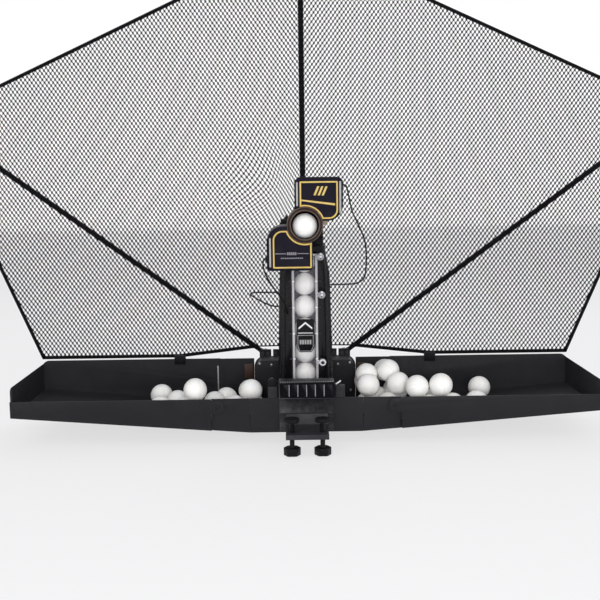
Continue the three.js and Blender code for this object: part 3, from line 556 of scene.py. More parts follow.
# moulded plastic or metal: look holds its colours, gloss, grain, wear and dust
def plastic(name, look):
    material, tree, shader = newMaterial(name)
    grain = addGroup(tree, grainGroup, Scale=look.get("grain", 900.0), Spread=look.get("spread", 30.0))
    wear = addGroup(tree, wearGroup, Amount=look.get("wear", 0.4))
    dust = addGroup(tree, dustGroup, Amount=look.get("dust", 0.02))
    body = mixColours(tree, grain.outputs["Mottle"], look["colour"], look["second"])
    worn = mixColours(tree, wear.outputs["Mask"], body, look.get("worn", (0.3, 0.3, 0.32)))
    rough = mathNode(tree, "MULTIPLY", grain.outputs["Mottle"], look.get("roughSpread", 0.15))
    setInputs(tree, shader, {
        "Base Color": mixColours(tree, dust.outputs["Mask"], worn, (0.42, 0.41, 0.4)),
        "Roughness": mathNode(tree, "ADD", rough, look["roughness"], True),
        "Metallic": look.get("metallic", 0), "Specular IOR Level": look.get("specular", 0.4),
        "Coat Weight": look.get("coat", 0), "Coat Roughness": 0.08,
    })
    addBump(tree, shader, grain.outputs["Height"], look.get("bump", 0.12), 0.0002)
    return material


def cloth(name, look):
    material, tree, shader = newMaterial(name)
    knit = addGroup(tree, knitGroup, Scale=look["weave"])
    colour = mixColours(tree, knit.outputs["Tone"], look["colour"], look["second"])
    setInputs(tree, shader, {"Base Color": colour, "Roughness": look["roughness"],
                             "Sheen Weight": look["sheen"], "Specular IOR Level": 0.08})
    addBump(tree, shader, knit.outputs["Height"], 0.35, 0.0003)
    return material


def clearPlastic(name, colour, opacity, roughness):
    material, tree, shader = newMaterial(name)
    grain = addGroup(tree, grainGroup, Scale=60.0, Spread=16.0)
    mottle = grain.outputs["Mottle"]
    film = mathNode(tree, "MULTIPLY", mottle, opacity * 0.6)
    setInputs(tree, shader, {
        "Base Color": mixColours(tree, mottle, colour, tuple(c * 0.86 for c in colour)),
        "Roughness": mathNode(tree, "MULTIPLY", mottle, roughness),
        "Alpha": mathNode(tree, "ADD", film, opacity * 0.7, True),
    })
    addBump(tree, shader, grain.outputs["Height"], 0.01, 0.00005)
    return material


# white scales the ball's tones; a value above 1 paints extra light onto balls that stand in shade
def makeBallMaterial(name, white):
    material, tree, shader = newMaterial(name)
    grain = addGroup(tree, grainGroup, Scale=700.0, Spread=45.0)
    parts = addNode(tree, "SeparateXYZ", Vector=addNode(tree, "TexCoord").outputs["UV"])
    offset = mathNode(tree, "ABSOLUTE", mathNode(tree, "SUBTRACT", parts.outputs["Y"], 0.5))
    seam = mathNode(tree, "LESS_THAN", offset, 0.006)
    tones = [tuple(c * white for c in tone) for tone in ((0.82, 0.80, 0.765), (0.88, 0.875, 0.86))]
    body = mixColours(tree, grain.outputs["Mottle"], *tones)
    setInputs(tree, shader, {"Base Color": mixColours(tree, seam, body, (0.78, 0.76, 0.72)),
                             "Roughness": 0.42, "Subsurface Weight": 0.12})
    shader.inputs["Subsurface Radius"].default_value = (0.006, 0.005, 0.004)
    addBump(tree, shader, grain.outputs["Height"], 0.04, 0.0001)
    return material


looks = {
    "blackPlastic": {"colour": (0.004, 0.004, 0.005), "second": (0.009, 0.009, 0.010), "roughness": 0.34,
                     "worn": (0.09, 0.09, 0.10), "wear": 0.5, "dust": 0.015, "bump": 0.10, "specular": 0.12},
    "columnPlastic": {"colour": (0.004, 0.004, 0.005), "second": (0.008, 0.008, 0.010), "roughness": 0.22,
                      "worn": (0.12, 0.12, 0.13), "wear": 0.6, "dust": 0.01, "bump": 0.08, "specular": 0.18,
                      "roughSpread": 0.1, "coat": 0.12},
    "charcoalPlastic": {"colour": (0.012, 0.012, 0.0135), "second": (0.021, 0.021, 0.024), "roughness": 0.46,
                        "worn": (0.08, 0.08, 0.09), "bump": 0.2, "grain": 1300.0, "specular": 0.14},
    "hookPlastic": {"colour": (0.0025, 0.0025, 0.0035), "second": (0.005, 0.005, 0.007), "roughness": 0.3,
                    "worn": (0.16, 0.16, 0.17), "wear": 0.7, "dust": 0.01, "bump": 0.08, "specular": 0.05},
    "navyFace": {"colour": (0.004, 0.003, 0.008), "second": (0.007, 0.005, 0.013), "roughness": 0.12,
                 "roughSpread": 0.06, "worn": (0.05, 0.05, 0.07), "wear": 0.3, "dust": 0.01, "bump": 0.02,
                 "coat": 0.08, "specular": 0.1},
    "goldTrim": {"colour": (0.60, 0.46, 0.05), "second": (0.52, 0.31, 0.13), "roughness": 0.34,
                 "worn": (0.9, 0.8, 0.4), "wear": 0.3, "dust": 0.0, "bump": 0.03, "metallic": 0.3,
                 "spread": 16.0},
    "nozzleBronze": {"colour": (0.014, 0.008, 0.008), "second": (0.028, 0.016, 0.014), "roughness": 0.24,
                     "worn": (0.25, 0.17, 0.13), "wear": 0.7, "dust": 0.01, "bump": 0.06, "metallic": 0.25,
                     "specular": 0.16},
    "bronzeRim": {"colour": (0.062, 0.040, 0.032), "second": (0.11, 0.075, 0.06), "roughness": 0.26,
                  "worn": (0.4, 0.3, 0.24), "wear": 0.5, "dust": 0.01, "bump": 0.05, "metallic": 0.55},
    # paleStrip paints highlights on the housings' edge strips and the hook's top beads, and is the printed
    # frame on the label
    "paleStrip": {"colour": (0.26, 0.25, 0.25), "second": (0.38, 0.37, 0.36), "roughness": 0.3,
                  "worn": (0.7, 0.7, 0.7), "wear": 0.3, "bump": 0.05, "metallic": 0.2},
    "paleGrey": {"colour": (0.42, 0.40, 0.42), "second": (0.54, 0.52, 0.53), "roughness": 0.34,
                 "worn": (0.75, 0.75, 0.77), "bump": 0.06},
    # whiteMark is print on the label and the rim, and paints the highlights on the clear knobs
    "whiteMark": {"colour": (0.74, 0.74, 0.76), "second": (0.84, 0.84, 0.86), "roughness": 0.4,
                  "worn": (0.6, 0.6, 0.6), "wear": 0.2, "bump": 0.04},
    # greyMark is printed grey on the lower face, and paints the highlights on the hook's ribs
    "greyMark": {"colour": (0.17, 0.165, 0.19), "second": (0.25, 0.245, 0.27), "roughness": 0.4,
                 "worn": (0.3, 0.3, 0.3), "wear": 0.2, "bump": 0.04},
    "darkGrey": {"colour": (0.020, 0.020, 0.023), "second": (0.034, 0.034, 0.038), "roughness": 0.4,
                 "worn": (0.2, 0.2, 0.21), "wear": 0.5, "dust": 0.03, "bump": 0.16, "specular": 0.14},
    "brownFlap": {"colour": (0.030, 0.016, 0.012), "second": (0.050, 0.026, 0.018), "roughness": 0.4,
                  "worn": (0.12, 0.07, 0.05), "wear": 0.3, "bump": 0.1},
    "beigePlastic": {"colour": (0.46, 0.37, 0.26), "second": (0.58, 0.48, 0.35), "roughness": 0.38,
                     "worn": (0.7, 0.62, 0.5), "dust": 0.03, "bump": 0.08},
    "motorMetal": {"colour": (0.34, 0.35, 0.37), "second": (0.44, 0.45, 0.47), "roughness": 0.3,
                   "worn": (0.7, 0.7, 0.7), "dust": 0.04, "bump": 0.08, "metallic": 0.85},
    "screwMetal": {"colour": (0.30, 0.30, 0.32), "second": (0.42, 0.42, 0.44), "roughness": 0.25,
                   "worn": (0.7, 0.7, 0.7), "bump": 0.05, "metallic": 0.9},
    "cableRubber": {"colour": (0.006, 0.006, 0.006), "second": (0.012, 0.012, 0.012), "roughness": 0.5,
                    "worn": (0.05, 0.05, 0.05), "wear": 0.2, "bump": 0.1, "specular": 0.1},
    "wheelFoam": {"colour": (0.23, 0.04, 0.025), "second": (0.31, 0.07, 0.04), "roughness": 0.75,
                  "worn": (0.4, 0.16, 0.1), "wear": 0.5, "dust": 0.15, "bump": 0.5, "grain": 500.0},
}
finishes = {name: plastic(name, look) for name, look in looks.items()}
finishes["coverPlastic"] = clearPlastic("coverPlastic", (0.74, 0.72, 0.82), 0.06, 0.12)
finishes["knobClear"] = clearPlastic("knobClear", (0.6, 0.6, 0.64), 0.5, 0.3)
# painted light: the balls in the column and trays get a brighter copy of the ball colour than the ball in the
# nozzle, to make up for the shade in the channel
finishes["ball"] = makeBallMaterial("celluloidBall", 1.08)
finishes["firstBall"] = makeBallMaterial("celluloidBallInNozzle", 1)
finishes["net"] = cloth("netCloth", {"colour": (0.003, 0.003, 0.0035), "second": (0.008, 0.008, 0.009),
                                     "weave": 900.0, "roughness": 0.9, "sheen": 0.02})
finishes["sleeve"] = cloth("rodSleeve", {"colour": (0.003, 0.003, 0.004), "second": (0.009, 0.009, 0.011),
                                         "weave": 520.0, "roughness": 0.8, "sheen": 0.02})
print("materials:", len(bpy.data.materials))


cables = {
    "diameter": 2.6,
    "upper": [
        (0.0633, 0, 0.35), (0.0673, 0, 0.3496), (0.0723, 0.003, 0.332), (0.0783, 0.011, 0.307),
        (0.0923, 0.026, 0.278), (0.1023, 0.046, 0.252), (0.1053, 0.072, 0.208), (0.1023, 0.092, 0.187),
        (0.0913, 0.106, 0.178), (0.0733, 0.113, 0.1754), (0.0553, 0.115, 0.175), (0.04498, 0.115, 0.175)],
    "upperSteps": 39, "upperSplit": 14,  # the head's part ends at the split
    "lower": [
        (-0.0638, 0, 0.232), (-0.0668, 0, 0.2316), (-0.0688, 0.002, 0.222), (-0.0658, 0.007, 0.208),
        (-0.0558, 0.025, 0.186), (-0.0418, 0.052, 0.163), (-0.0318, 0.078, 0.14), (-0.0302, 0.091, 0.129),
        (-0.03, 0.1007, 0.126)],
    "lowerSteps": 34, "lowerSplit": 15,
    "loop": [
        (-0.04558, 0.125, 0.161), (-0.06358, 0.123, 0.1616), (-0.08358, 0.121, 0.162),
        (-0.0941, 0.12, 0.1613), (-0.0963, 0.12, 0.1591), (-0.0945, 0.12, 0.157), (-0.08558, 0.12, 0.1515),
        (-0.06758, 0.122, 0.141), (-0.05358, 0.125, 0.1364), (-0.04592, 0.125, 0.136)],
    "loopSteps": 34,
    "nuts": {"upperGlandNut": (61.7, 350, 1), "lowerGlandNut": (-62.7, 232, -1)},  # x, z and side
    "nutProfile": [(1.5, -1.2), (3.1, -1.2), (3.6, -0.6), (3.6, 0.9), (2.4, 1.9), (1.5, 1.9)],
}


def cordPiece(name, route, bodies, nodes):
    piece = linePiece(route, cables["diameter"] / 2, 4)
    finishPiece(piece, name, "cableRubber", None, nodes)
    if len(bodies) == 2:
        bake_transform(piece)
    else:
        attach(piece, bodies[0])
    print(name, "is", round(routeLength(route) * 1000), "mm long")
    return piece


def makeCables():
    for name in ("upper", "lower"):
        route, split = smoothRoute(cables[name], cables[f"{name}Steps"]), cables[f"{name}Split"]
        nodes = (f"{name}_motor_cable",)
        cordPiece(f"{name}CableHead", route[:split + 1], ("head", "head_swivel"), nodes)
        cordPiece(f"{name}CableColumn", route[split:], ("head_swivel", "base"), nodes)
    loop = smoothRoute(cables["loop"], cables["loopSteps"])
    cordPiece("columnLoopCable", loop, ("base",), ("column_loop_cable",))
    for name, (x, z, side) in cables["nuts"].items():
        nut = turnedPiece(mirrored(cables["nutProfile"], side), "X", (x, 0, z), 24)
        finishPiece(nut, name, "blackPlastic", "head", ())


makeCables()
print("cables are laid")


pathHeight = 288.5
head = {
    "upper": {"side": 1, "near": 16, "far": 60.5, "low": 6, "high": 75, "corner": 25, "chamfer": 6},
    "lower": {"side": -1, "near": 12, "far": 61, "low": 1.5, "high": 72, "corner": 25, "chamfer": 3},
    "arc": 29, "faceFront": -48, "faceDepths": (0.1, 1.9), "edge": 1.1, "sunk": 0.3, "inset": 0.2,
    "upperTrim": {"side": 1, "near": 7.6, "far": 52.2, "low": 9.4, "high": 68.2, "corner": 14, "chamfer": 1,
                  "arc": 29.4},
    "lowerTrim": {"side": -1, "near": 10.2, "far": 51, "low": 8.6, "high": 67.9, "corner": 15, "chamfer": 1,
                  "arc": 29.4},
    "trimWidth": 2.3, "trimLift": 0.35,
    # the strips are pale boxes that paint the highlights on the housings' chamfered side edges
    "stripDepths": (-0.3, 1.5), "upperStrips": ((-13.2, -10.4, 30, 67), (54.6, 57.6, 18, 68)),
    "lowerStrips": ((-56.8, -54, -66, -20),),
}


def housingOutline(spec, inset=0):
    near = -(spec["near"] - inset)
    far = spec["far"] - inset
    low = spec["low"] + inset
    high = spec["high"] - inset
    arc = spec.get("arc", head["arc"]) + inset
    corner = spec["corner"] - inset
    chamfer = max(spec["chamfer"] - inset / 2, 0.2)
    points = arcPoints(0, 0, arc, math.acos(near / arc), math.asin(low / arc), 28)
    points += arcPoints(far - corner, low + corner, corner, -math.pi / 2, 0, 14)
    points += [(far, high - chamfer), (far - chamfer, high), (near + chamfer, high), (near, high - chamfer)]
    s = spec["side"]
    return [(s * x, pathHeight + s * z) for x, z in points]


def makeFaces():
    front = head["faceFront"]
    for name in ("upper", "lower"):
        dressNode(f"{name}_housing", f"{name}HousingShell", "blackPlastic", "head", 0.8, 3)
        fore, aft = [front + y for y in head["faceDepths"]]
        face = outlinePlate(housingOutline(head[name], head["inset"]), fore, aft)
        bevelEdges(face, head["edge"], 4, 40)
        smoothShade(face, 40)
        finishPiece(face, f"{name}FacePanel", "navyFace", "head", (f"{name}_face",))
        trim = outlinePlate(housingOutline(head[f"{name}Trim"]), front - head["trimLift"],
                            front + head["sunk"], head["trimWidth"])
        smoothShade(trim, 40)
        finishPiece(trim, f"{name}GoldOutline", "goldTrim", "head")
        # painted highlights: pale strips stand for the light on the housings' chamfered side edges
        fore, aft = [front + y for y in head["stripDepths"]]
        strips = [roundedBox((left, fore, pathHeight + low), (right, aft, pathHeight + high), 0.5, 3)
                  for left, right, low, high in head[f"{name}Strips"]]
        finishPiece(joined(strips), f"{name}PaintedHighlightStrips", "paleStrip", "head")


marks = {
    "lift": 0.3, "blockLift": 0.2, "thickness": 1.2,
    "bar": [(14, 46.4), (17.4, 46.4), (23.4, 60.4), (20, 60.4)], "barCount": 3, "barGap": (6.4, 0, -0.2),
    "sash": [(-7.4, 38.2), (47.8, 30.2), (47.8, 33.4), (-7.4, 40.4)],
    "lineHeight": -44.8, "lines": ((-47.5, -30.2), (-12.4, 5.6)),
    "rows": ((-28.6, -44.8, 2.2, 4.4, 3.1, 5), (-38.4, -52, 2.2, 1.8, 2.95, 12)),
}


# outlines and blocks on the faces are given from the height of the nozzle
def facePlate(points):
    front = head["faceFront"]
    return outlinePlate([(x, pathHeight + z) for x, z in points], front - marks["lift"], front + head["sunk"])


def faceBlock(left, middle, width, tall):
    front, low = head["faceFront"], pathHeight + middle - tall / 2
    high = (left + width, front + head["sunk"], low + tall)
    return roundedBox((left, front - marks["blockLift"], low), high, 0.2, 1)


def makeFaceMarks():
    bars = copyAt(facePlate(marks["bar"]), repeats(marks["barCount"], *marks["barGap"]))
    finishPiece(bars, "upperGoldBars", "goldTrim", "head")
    finishPiece(facePlate(marks["sash"]), "upperGoldSash", "goldTrim", "head")
    greys = [faceBlock(left, marks["lineHeight"], right - left, marks["thickness"])
             for left, right in marks["lines"]]
    for left, middle, width, tall, gap, count in marks["rows"]:
        greys.append(copyAt(faceBlock(left, middle, width, tall), repeats(count, gap)))
    finishPiece(joined(greys), "lowerGreyMarks", "greyMark", "head")


nozzle = {
    "sides": 96,
    "ring": [(22.3, -51.2), (23.4, -52.0), (24.6, -51.9), (26.0, -50.2), (27.6, -48.9), (28.0, -48.0),
             (28.0, -44.2), (27.4, -43.9), (23.3, -43.9), (22.3, -44.8), (22.3, -47.5), (22.9, -49.2)],
    "rimBead": [(27.2, -49.3), (28.3, -49.0), (28.6, -47.4), (28.4, -45.6), (27.6, -45.8), (27.4, -48)],
    "mouthBead": [(22.2, -50.9), (22.6, -52.1), (23.4, -52.5), (24.1, -52.2), (23.6, -51.7), (22.9, -51.2)],
}


def makeNozzle():
    centre = (0, 0, pathHeight)
    ring = turnedPiece(nozzle["ring"], "Y", centre, nozzle["sides"])
    finishPiece(ring, "nozzleRing", "nozzleBronze", "head", ("nozzle_ring",))
    for name, profile in (("nozzleRimBead", "rimBead"), ("nozzleMouthBead", "mouthBead")):
        bead = turnedPiece(nozzle[profile], "Y", centre, nozzle["sides"])
        finishPiece(bead, name, "bronzeRim", "head", ())


ballSize = {"radius": 20, "segments": 48, "rings": 24, "seam": 0.35, "seamDepth": 0.05}


# a hollow ball's two halves meet in a fine groove round the middle
def makeFirstBall():
    addNew()
    bpy.ops.mesh.primitive_uv_sphere_add(segments=ballSize["segments"], ring_count=ballSize["rings"],
                                         radius=ballSize["radius"] * mm)
    piece = bpy.context.object

    def onSeam(vertex):
        return abs(vertex.co.z) < 0.01 * mm

    selectWhere(piece, "EDGE", lambda edge: all(onSeam(piece.data.vertices[v]) for v in edge.vertices))
    bpy.ops.mesh.bevel(offset=ballSize["seam"] * mm, segments=2, affect="EDGES")
    selectWhere(piece, "VERT", onSeam)
    share = 1 - ballSize["seamDepth"] / ballSize["radius"]
    bpy.ops.transform.resize(value=(share, share, 1))
    objectMode()
    smoothShade(piece, 60)
    return piece


firstBall = makeFirstBall()


def ballAt(centre, turn):
    pickOnly(firstBall)
    bpy.ops.object.duplicate()
    piece = bpy.context.object
    piece.location = centre
    piece.rotation_euler = turn
    return piece


def makeCadBalls():
    names = ["nozzle_ball"] + [f"column_ball_{i}" for i in range(1, 7)]
    for i, node in enumerate(names):
        low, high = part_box(node)
        ball = ballAt((low + high) / 2, (0.4 + i * 0.9, 0.3 * i, 1.1 * i))  # each ball is turned its own way
        if i == 0:
            finishPiece(ball, "nozzleBall", "firstBall", "head", (node,))
        else:
            finishPiece(ball, f"columnBall{i}", "ball", "base", (node,))


tube = {"foot": (0.115, 0.2363), "bend": 0.039, "bendLow": 0.2495, "bendSteps": 24,  # metres
        "radius": 24, "wall": 2.5, "ringSteps": (7, 15), "ringRadius": 0.8}
yoke = {
    "height": 288.5, "depth": 70, "web": (14, 33, (91.5, 95), (247.4, 268)),
    "pin": [(0, 24.8), (3.9, 24.8), (3.9, 32.3), (5.4, 32.3), (6, 32.9), (6, 36.4), (5.2, 36.8),
            (5.2, 37.6), (6, 38), (6, 39.4), (5.2, 40.2), (2.2, 40.2), (2.0, 38.8), (0, 38.8)],
}


def makeHeadFrame():
    dressNode("head_frame", "headFrame", "blackPlastic", "head", 0.6)
    dressNode("head_turret", "headTurret", "blackPlastic", "head_swivel", 0.8, 3)


def makeYoke():
    webs = [sideBox(s, *yoke["web"]) for s in (-1, 1)]
    finishPiece(joined(webs), "yokeWebs", "blackPlastic", "head_swivel", ())
    for name, side, finish in (("left", -1, "blackPlastic"), ("right", 1, "beigePlastic")):
        pin = turnedPiece(mirrored(yoke["pin"], side), "X", (0, yoke["depth"], yoke["height"]), 40)
        finishPiece(pin, f"tiltPin{name.title()}", finish, "head_swivel", (f"tilt_pin_{name}",))


# the bent tube, with two rings round it
def makeElbowTube():
    depth, foot = tube["foot"]
    steps = tube["bendSteps"]
    route = [Vector((0, depth, foot))]
    for i in range(steps + 1):
        angle = math.pi / 2 * i / steps
        route.append(Vector((0, depth - tube["bend"] * (1 - math.cos(angle)),
                             tube["bendLow"] + tube["bend"] * math.sin(angle))))
    piece = linePiece(route, tube["radius"], 12, False)
    applyModifier(piece, "SOLIDIFY", thickness=tube["wall"] * mm, offset=-1)
    cleanNormals(piece)
    smoothShade(piece, 50)
    rings = []
    for step in tube["ringSteps"]:
        addNew()
        bpy.ops.mesh.primitive_torus_add(
            major_radius=tube["radius"] * mm, minor_radius=tube["ringRadius"] * mm, major_segments=64,
            minor_segments=10, location=route[step + 1], rotation=(math.pi / 2 * step / steps, 0, 0))
        rings.append(bpy.context.object)
    finishPiece(joined([piece] + rings), "elbowTube", "blackPlastic", "head_swivel",
                ("elbow_tube",))


def paintNode(node, finish):
    piece = frame["nodes"][node]
    piece.data.materials.clear()
    piece.data.materials.append(finishes[finish])


drives = {
    "rise": 43, "depth": -10,
    "wheel": [(0, -5), (20, -5), (20.6, -9), (24.3, -9), (25, -8.2), (24.1, -3), (23.9, 0), (24.1, 3),
              (25, 8.2), (24.3, 9), (20.6, 9), (20, 5), (3, 5), (3, 15.6), (0, 15.6)],
    "motor": [(0, 16), (6, 16), (6, 18), (14.8, 18), (16, 19.2), (16, 30), (15.4, 30.6), (15.4, 31.6),
              (16, 32.2), (16, 53), (14.8, 54.2), (8, 54.2), (8, 57.4), (0, 57.4)],
    "painted": {"swivel_motor": "motorMetal", "feed_motor": "motorMetal", "swivel_roller": "cableRubber",
                "feed_wheel": "paleGrey"},
}


def makeDrives():
    for name, side in (("upper", 1), ("lower", -1)):
        centre = (0, drives["depth"], pathHeight + side * drives["rise"])
        wheel = turnedPiece(mirrored(drives["wheel"], side), "X", centre, 64)
        finishPiece(wheel, f"{name}ThrowWheel", "wheelFoam", f"{name}_wheel", (f"{name}_wheel",))
        motor = turnedPiece(mirrored(drives["motor"], side), "X", centre, 56)
        finishPiece(motor, f"{name}WheelMotor", "motorMetal", "head", (f"{name}_motor",))
    for node, finish in drives["painted"].items():
        paintNode(node, finish)


makeFaces()
makeFaceMarks()
makeNozzle()
makeCadBalls()
makeHeadFrame()
makeElbowTube()
makeYoke()
makeDrives()
print("head is built")


column = {
    "rim": (18.4, 22.4, (90.6, 93.5), (-10, 232)), "rimTop": ((-22.4, 90.6, 228.2), (22.4, 93.5, 232)),
    "groove": (22.3, 23.9, (91, 93.5), (-9.5, 231.5)), "bar": ((-2.25, 90.8, -1.5), (2.25, 93.4, 1.5)),
    "tick": ((-2.1, 90, -1.1), (2.1, 91.2, 1.1)), "barPlace": 25.75, "tickPlace": 19.7,
    "tickHeights": (47, 92, 138, 184), "screwPlace": 32.7, "screwDepth": 175,
    "screwHeights": (-40, 20, 90, 160, 215),
}


# the same heights left and right of the middle
def pairedPlaces(x, heights):
    return [(s * x, 0, z) for s in (-1, 1) for z in heights]


def makeColumn():
    dressNode("column_shell", "columnShell", "columnPlastic", "base", 0.7, 3)
    dressNode("column_back", "columnBackPlate", "charcoalPlastic", "base", 0.4)
    rim = [sideBox(s, *column["rim"], 0.8, 3) for s in (-1, 1)]
    rim.append(roundedBox(*column["rimTop"], 0.7, 3))
    finishPiece(joined(rim), "channelRim", "paleGrey", "base", ("channel_rim",))
    grooves = [sideBox(s, *column["groove"], 0.3, 2) for s in (-1, 1)]
    bar = roundedBox(*column["bar"], 0.4, 2)
    grooves.append(copyAt(bar, pairedPlaces(column["barPlace"], column["tickHeights"])))
    finishPiece(joined(grooves), "rimGrooves", "darkGrey", "base")
    tick = roundedBox(*column["tick"], 0.4, 2)
    ticks = copyAt(tick, pairedPlaces(column["tickPlace"], column["tickHeights"]))
    finishPiece(ticks, "rimTicks", "whiteMark", "base")
    dressNode("channel_cover", "channelCover", "coverPlastic", "base", 0.4)
    screw = screwHead((0, column["screwDepth"], 0))
    screws = copyAt(screw, pairedPlaces(column["screwPlace"], column["screwHeights"]))
    finishPiece(screws, "columnBackScrews", "screwMetal", "base")


screwProfile = [(0, 0), (2.6, 0), (2.6, 0.5), (1.95, 1.1), (1.04, 1.35), (0.91, 0.6), (0, 0.6)]


# a screw head that looks to the back, or to the front with side -1
def screwHead(place, side=1):
    return turnedPiece(mirrored(screwProfile, side), "Y", place, 20)


label = {
    "depths": (93, 93.85), "lift": 0.2, "band": 1,
    "plate": [(-10.2, 58.6), (10.8, 58.6), (15.8, 66.6), (15.8, 115), (13.8, 117), (-13.2, 117), (-15.2, 115),
              (-15.2, 66.6)],
    "frame": [(-10.2, 60.1), (10.8, 60.1), (14.2, 68.6), (14.2, 89), (-13.6, 89), (-13.6, 68.6)],
    "chevron": [(-11.7, 99), (0.3, 109), (12.3, 99), (12.3, 102.4), (0.3, 112.4), (-11.7, 102.4)],
    "line": ((-12.8, 92), (13.4, 93.4)), "block": ((-10, 72.6), (-6.8, 80.6)),
    "blockCount": 5, "blockGap": 4.3,
}


# a mark on the label between two corners (x, z)
def labelBlock(low, high, radius):
    front, lift = label["depths"][0], label["lift"]
    return roundedBox((low[0], front - lift, low[1]), (high[0], front + lift, high[1]), radius, 1)


def makeLabel():
    plate = outlinePlate(label["plate"], *label["depths"])
    bevelEdges(plate, 0.25, 2)
    smoothShade(plate)
    finishPiece(plate, "labelPlate", "blackPlastic", "base")
    around = (label["depths"][0] - label["lift"], label["depths"][0] + label["lift"])
    whites = [outlinePlate(label["chevron"], *around), labelBlock(*label["line"], 0.2)]
    finishPiece(joined(whites), "labelMarks", "whiteMark", "base")
    blocks = copyAt(labelBlock(*label["block"], 0.3), repeats(label["blockCount"], label["blockGap"]))
    greys = [outlinePlate(label["frame"], *around, label["band"]), blocks]
    finishPiece(joined(greys), "labelGreyMarks", "paleStrip", "base")


# profiles are (radius, depth behind the knob's front); the shaft ends inside the column
knobs = {
    "depth": 6.7, "shaft": 2.2, "shaftEnd": 107,
    "open": [(0, 2.5), (2.9, 2.5), (3.3, 0.6), (4.1, 0), (5.1, 0.5), (5.7, 2), (6.4, 5.5), (5.8, 6.7)],
    "domed": [(0, 0.5), (2.2, 0.4), (4.2, 0), (5.7, 0.9), (6.5, 2.6), (6.5, 5.9), (5.8, 6.7)],
    "grip": (0.8, -0.4, 1.4, 4.2),  # half the width, the depths and half the height
    "openGrip": [(0, 1.6), (2.9, 1.6), (3.2, 2.7), (0, 2.7)],
    # the white bosses on the clear knobs are painted highlights
    "boss": [(0, -1), (1.6, -0.8), (2.2, 0.6), (1.9, 1.6), (0, 1.6)], "bossPlaces": ((0.6, 4.8), (0.2, 0.4)),
    "hook": [(20.5, 90.1, 3), (22.4, 89.2, 3.4), (23.8, 88.9, 1.2), (23.2, 89.2, -1.6), (21.4, 90, -2.4)],
}


def fromFront(profile, front):
    return [(radius, front + depth) for radius, depth in profile]


def makeKnobs():
    for name, kind, finish in (("bottom", "open", "whiteMark"), ("middle", "domed", "knobClear"),
                               ("top", "domed", "knobClear")):
        low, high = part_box(f"cover_knob_{name}")
        x = (low.x + high.x) / 2 / mm
        z = (low.z + high.z) / 2 / mm
        front = low.y / mm
        shaft = [(knobs["shaft"], front + knobs["depth"]), (knobs["shaft"], knobs["shaftEnd"]),
                 (0, knobs["shaftEnd"])]
        knob = turnedPiece(fromFront(knobs[kind], front) + shaft, "Y", (x, 0, z), 40)
        body = f"knob_{name}"
        finishPiece(knob, f"coverKnob{name.title()}", finish, body, (f"cover_knob_{name}",))
        if kind == "open":
            grip = turnedPiece(fromFront(knobs["openGrip"], front), "Y", (x, 0, z), 32)
        else:
            wide, fore, aft, tall = knobs["grip"]
            grip = roundedBox((x - wide, front + fore, z - tall), (x + wide, front + aft, z + tall), 0.4, 2)
            # two small white bosses on the clear knob paint its highlights
            boss = turnedPiece(fromFront(knobs["boss"], front), "Y", (x, 0, z), 20)
            bosses = copyAt(boss, [(right, 0, up) for right, up in knobs["bossPlaces"]])
            finishPiece(bosses, f"knob{name.title()}PaintedHighlightBosses", "whiteMark", body)
        finishPiece(grip, f"knob{name.title()}Grip", "darkGrey", body)
        hook = linePiece([Vector((right, depth, z + up)) * mm for right, depth, up in knobs["hook"]], 0.9, 3)
        finishPiece(hook, f"rimHook{name.title()}", "whiteMark", "base")


makeColumn()
makeLabel()
makeKnobs()
print("column is built")


hook = {
    # the grey rib caps paint the highlights on the ribs' front edges
    "cap": ((-29.684, -11.9, 3.8), (-28.184, -11.2, 23.8)), "ribCount": 5, "ribGap": 14.467,
    # the pale beads paint the highlights along the hook's rounded top edge
    "bead": [(0, 27.8), (1.1, 27.8), (1.0, 28.5), (0.6, 28.9), (0, 29)], "beadFirst": -43, "beadDepth": -9.6,
    "beadCount": 24, "beadGap": 86 / 23,
    "lever": [(48.6, 17.2), (50.2, 16.2), (58.6, 21.6), (57.6, 23.4)], "leverDepths": (20.5, 24),
    "post": ((53, 22.4, 13.4), (56, 24.6, 20)), "slot": (51.5, 62.5, (19.7, 20.2), (1, 4)),
    "hump": [(-65, 14.2), (-49.4, 14.2), (-49.4, 22)], "humpTop": (-58, 20.4, 7, 0.5, math.pi, 8),
    "humpDepths": (20.6, 33),
    "pad": [(0, -25.9), (11.2, -25.9), (11.6, -25.5), (11.2, -25.35), (0, -25.35)], "padPlace": (25, -40),
}


def makeHook():
    dressNode("table_hook", "tableHook", "hookPlastic", "base", 0.6, 3)
    # the pale beads along the hook's top edge are painted highlights on its rounded edge
    bead = turnedPiece(hook["bead"], "Z", (hook["beadFirst"], hook["beadDepth"], 0), 12)
    beads = copyAt(bead, repeats(hook["beadCount"], hook["beadGap"]))
    finishPiece(beads, "hookTopPaintedHighlights", "paleStrip", "base")
    # grey caps on the ribs' front edges are painted highlights
    caps = copyAt(roundedBox(*hook["cap"], 0.3, 2), repeats(hook["ribCount"], hook["ribGap"]))
    finishPiece(caps, "hookRibPaintedHighlights", "greyMark", "base")
    for side, title, s in sides:
        dressNode(f"hook_block_{side}", f"hookBlock{title}", "darkGrey", "base", 0.8, 3)
        finishPiece(sideBox(s, *hook["slot"], 0.2, 1), f"hookBlockSlot{title}", "blackPlastic", "base")
    lever = outlinePlate(hook["lever"], *hook["leverDepths"])
    bevelEdges(lever, 0.5, 2)
    finishPiece(lever, "hookLever", "whiteMark", "base")
    post = roundedBox(*hook["post"], 0.4, 2)
    finishPiece(post, "hookLeverPost", "darkGrey", "base")
    hump = outlinePlate(hook["hump"] + arcPoints(*hook["humpTop"]), *hook["humpDepths"])
    bevelEdges(hump, 0.8, 2)
    smoothShade(hump)
    finishPiece(hump, "hookHump", "blackPlastic", "base")


